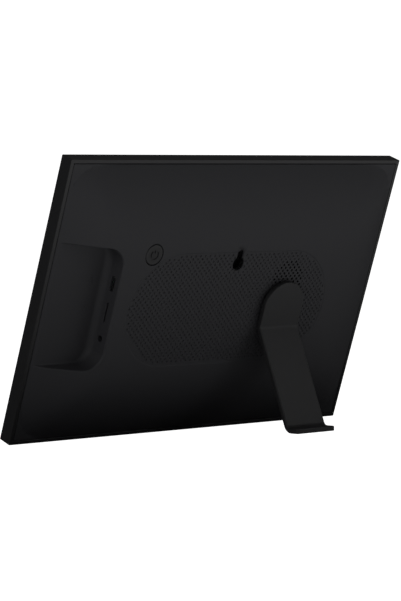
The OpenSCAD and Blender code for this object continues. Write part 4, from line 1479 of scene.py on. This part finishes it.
class DISPLAY_OT_marks(bpy.types.Operator):
    """Builds the plain marks beside the ports"""

    bl_idname = "smart_display.marks"
    bl_label = "Port marks"

    def execute(self, context):
        s = settings()
        ready(make_marks(s), "casing", "cover_plastic", cover_finish())
        return {"FINISHED"}


class DISPLAY_OT_inner_finishes(bpy.types.Operator):
    """Gives the frame's own pieces their materials"""

    bl_idname = "smart_display.inner_finishes"
    bl_label = "Inner pieces"

    def execute(self, context):
        f = settings().finish
        steel, brass = tuple(f.steel), tuple(f.brass)
        finishes = {
            "steel": metal("steel", steel, 0.32),
            "brass": metal("brass", brass, 0.28),
            "board": circuit("board", tuple(f.board)),
            "chip": moulded("chip", (0.02, 0.02, 0.022), 0.55, 0.15 * MM),
            "inner_plastic": moulded("inner_plastic", (0.02, 0.02, 0.021), 0.5),
            "white_plastic": moulded("white_plastic", (0.7, 0.69, 0.65), 0.45),
            "panel_glass": moulded("panel_glass", (0.02, 0.022, 0.03), 0.2, 0.1 * MM, 0.002 * MM),
            "film": soft("film", (0.82, 0.83, 0.85), 0.35, 0.2 * MM, 0.004 * MM),
            "foam": soft("foam", (0.015, 0.015, 0.015), 0.85, 0.35 * MM, 0.08 * MM),
            "flex": ribbon("flex", (0.45, 0.24, 0.05), 0.35),
            "wire": moulded("wire", tuple(f.wire), 0.4, 0.4 * MM),
            "cable": moulded("cable", (0.02, 0.02, 0.02), 0.42, 0.4 * MM),
            "cone": soft("cone", (0.05, 0.05, 0.055), 0.7, 0.5 * MM, 0.03 * MM),
            "mesh": woven("mesh", (0.02, 0.02, 0.02)),
        }
        slots = {part["node"]: part["material_slot"] for part in frame["record"]["subparts"]}
        for name, obj in frame["nodes"].items():
            key = "mesh" if name == "speaker_mesh" else slots[name]
            material = finishes.get(key, finishes["inner_plastic"])
            for slot in obj.material_slots:
                slot.material = material
            if not obj.material_slots:
                obj.data.materials.append(material)
        return {"FINISHED"}


class DISPLAY_OT_stage(bpy.types.Operator):
    """Sets up the floor, the lights and the camera"""

    bl_idname = "smart_display.stage"
    bl_label = "Stage"

    def execute(self, context):
        s = settings()
        make_floor(s)
        make_lights()
        make_camera()
        return {"FINISHED"}


CAMERA_AT = (1.02146, 1.1238, 0.13902)
CAMERA_TURN = (87.72778, 0.66592, 138.04279)
CAMERA_LENS = 154.0
BOUNCE = 0.74
BOUNCE_CORNERS = ((-1.8, -0.1), (1.8, -0.1), (1.8, 1.0), (-1.8, 1.0))
BOUNCE_LOW = -0.002
FLOOR_REACH, FLOOR_COVE, WALL_TOP = 3.6, 0.9, 3.5
FLOOR_SIDES = 96
FLOOR_GLOW = 1.1
WORLD_GLOW = 0.04
LIGHTS = (
    # name, place, aimed at, width, height, power
    ("key", (-1.2, 1.5, 0.75), (0.0, 0.0, 0.08), 0.9, 0.9, 3.0),
    ("side", (1.6, 0.3, 0.5), (0.0, 0.0, 0.08), 0.7, 0.9, 4.0),
    ("top", (0.0, 0.1, 1.6), (0.0, 0.0, 0.08), 1.0, 0.6, 1.5),
)


def make_floor(s):
    """A pale round floor that curves up into a wall all round the stage."""
    profile = [(FLOOR_REACH - FLOOR_COVE, 0.0)]
    for a in quarter(12)[1:]:
        profile.append((FLOOR_REACH - FLOOR_COVE * (1 - math.sin(a)), FLOOR_COVE * (1 - math.cos(a))))
    profile.append((FLOOR_REACH, WALL_TOP))
    work = bmesh.new()
    middle = work.verts.new((0, 0, 0))
    rows = [[work.verts.new((p.x, p.y, z)) for p, _ in circle((0, 0), r, FLOOR_SIDES)] for r, z in profile]
    for i in range(FLOOR_SIDES):
        j = (i + 1) % FLOOR_SIDES
        work.faces.new([middle, rows[0][i], rows[0][j]])
        for low, high in zip(rows, rows[1:]):
            work.faces.new([low[i], high[i], high[j], low[j]])
    floor = made("floor", work)
    for poly in floor.data.polygons:
        poly.use_smooth = True
    f = Finish("floor_paper", tuple(s.finish.floor), 0.9, specular=0.1)
    f.set("Emission Color", (1.0, 1.0, 1.0, 1.0))
    f.set("Emission Strength", FLOOR_GLOW)
    f.bump(f.noise(60.0), 0.05, 0.2 * MM)
    floor.data.materials.append(f.material)
    floor.visible_diffuse = False
    floor.visible_glossy = False
    make_bounce()


def make_bounce():
    """A pale sheet behind the object, unseen by the camera, whose gleam the plastic shows; its glow fades out
    towards the object's foot as a painted floor shadow.
    """
    work = bmesh.new()
    work.faces.new([work.verts.new((x, y, BOUNCE_LOW)) for x, y in BOUNCE_CORNERS])
    sheet = made("bounce", work)
    f = Finish("bounce_paper", (0.8, 0.8, 0.8), 0.9, specular=0.0)
    f.set("Emission Color", (1.0, 1.0, 1.0, 1.0))
    across = f.add("ShaderNodeSeparateXYZ", Vector=f.place).outputs["Y"]
    # painted floor shadow: the glow is nil up to y = 0, round the object's foot, and rises to full by y = 0.25 m
    f.feed("Emission Strength", f.between(across, 0.0, BOUNCE, 0.0, 0.25))
    sheet.data.materials.append(f.material)
    sheet.visible_camera = False
    sheet.visible_shadow = False
    return sheet


def make_lights():
    for name, at, aim, wide, high, power in LIGHTS:
        light = bpy.data.lights.new(name, "AREA")
        light.shape = "RECTANGLE"
        light.size, light.size_y, light.energy = wide, high, power
        obj = linked(name, light)
        obj.location = at
        obj.rotation_euler = (Vector(aim) - Vector(at)).to_track_quat("-Z", "Y").to_euler()
    world = bpy.data.worlds.new("studio")
    bpy.context.scene.world = world
    world.use_nodes = True
    back = world.node_tree.nodes["Background"]
    back.inputs["Color"].default_value = (1.0, 1.0, 1.0, 1.0)
    back.inputs["Strength"].default_value = WORLD_GLOW


def make_camera():
    data = bpy.data.cameras.new("camera")
    data.lens = CAMERA_LENS
    data.sensor_width = 36.0
    data.clip_start, data.clip_end = 0.05, 50.0
    camera = linked("camera", data)
    camera.location = CAMERA_AT
    camera.rotation_euler = [math.radians(a) for a in CAMERA_TURN]
    bpy.context.scene.camera = camera
    bpy.context.scene.view_settings.view_transform = "Standard"


class DISPLAY_PT_panel(bpy.types.Panel):
    """Lists the pieces and their sizes"""

    bl_idname = "DISPLAY_PT_panel"
    bl_label = "Smart display"
    bl_space_type = "VIEW_3D"
    bl_region_type = "UI"
    bl_category = "Smart display"

    def draw(self, context):
        layout = self.layout
        for step in STEPS:
            layout.operator(step.bl_idname)
        for group in settings().bl_rna.properties:
            if group.type == "POINTER" and group.identifier != "rna_type":
                box = layout.box()
                box.label(text=group.name)
                part = getattr(settings(), group.identifier)
                for item in part.bl_rna.properties:
                    if item.identifier not in ("rna_type", "name"):
                        box.prop(part, item.identifier)


STEPS = (
    DISPLAY_OT_inner_finishes,
    DISPLAY_OT_rim,
    DISPLAY_OT_glass,
    DISPLAY_OT_cover,
    DISPLAY_OT_pad,
    DISPLAY_OT_button,
    DISPLAY_OT_leg,
    DISPLAY_OT_marks,
    DISPLAY_OT_stage,
)
GROUPS = (FrameSizes, CoverSizes, ButtonSizes, PadSizes, StandSizes, Finishes, DisplaySettings)


def register():
    for cls in GROUPS + STEPS + (DISPLAY_PT_panel,):
        bpy.utils.register_class(cls)
    bpy.types.Scene.smart_display = bpy.props.PointerProperty(
        type=DisplaySettings, name="Smart display", description="Sizes and colours"
    )


def unregister():
    del bpy.types.Scene.smart_display
    for cls in reversed(GROUPS + STEPS + (DISPLAY_PT_panel,)):
        bpy.utils.unregister_class(cls)


def main():
    register()
    bpy.ops.smart_display.inner_finishes()
    bpy.ops.smart_display.rim()
    bpy.ops.smart_display.glass()
    bpy.ops.smart_display.cover()
    bpy.ops.smart_display.pad()
    bpy.ops.smart_display.button()
    bpy.ops.smart_display.leg()
    bpy.ops.smart_display.marks()
    bpy.ops.smart_display.stage()


if __name__ == "__main__":
    main()
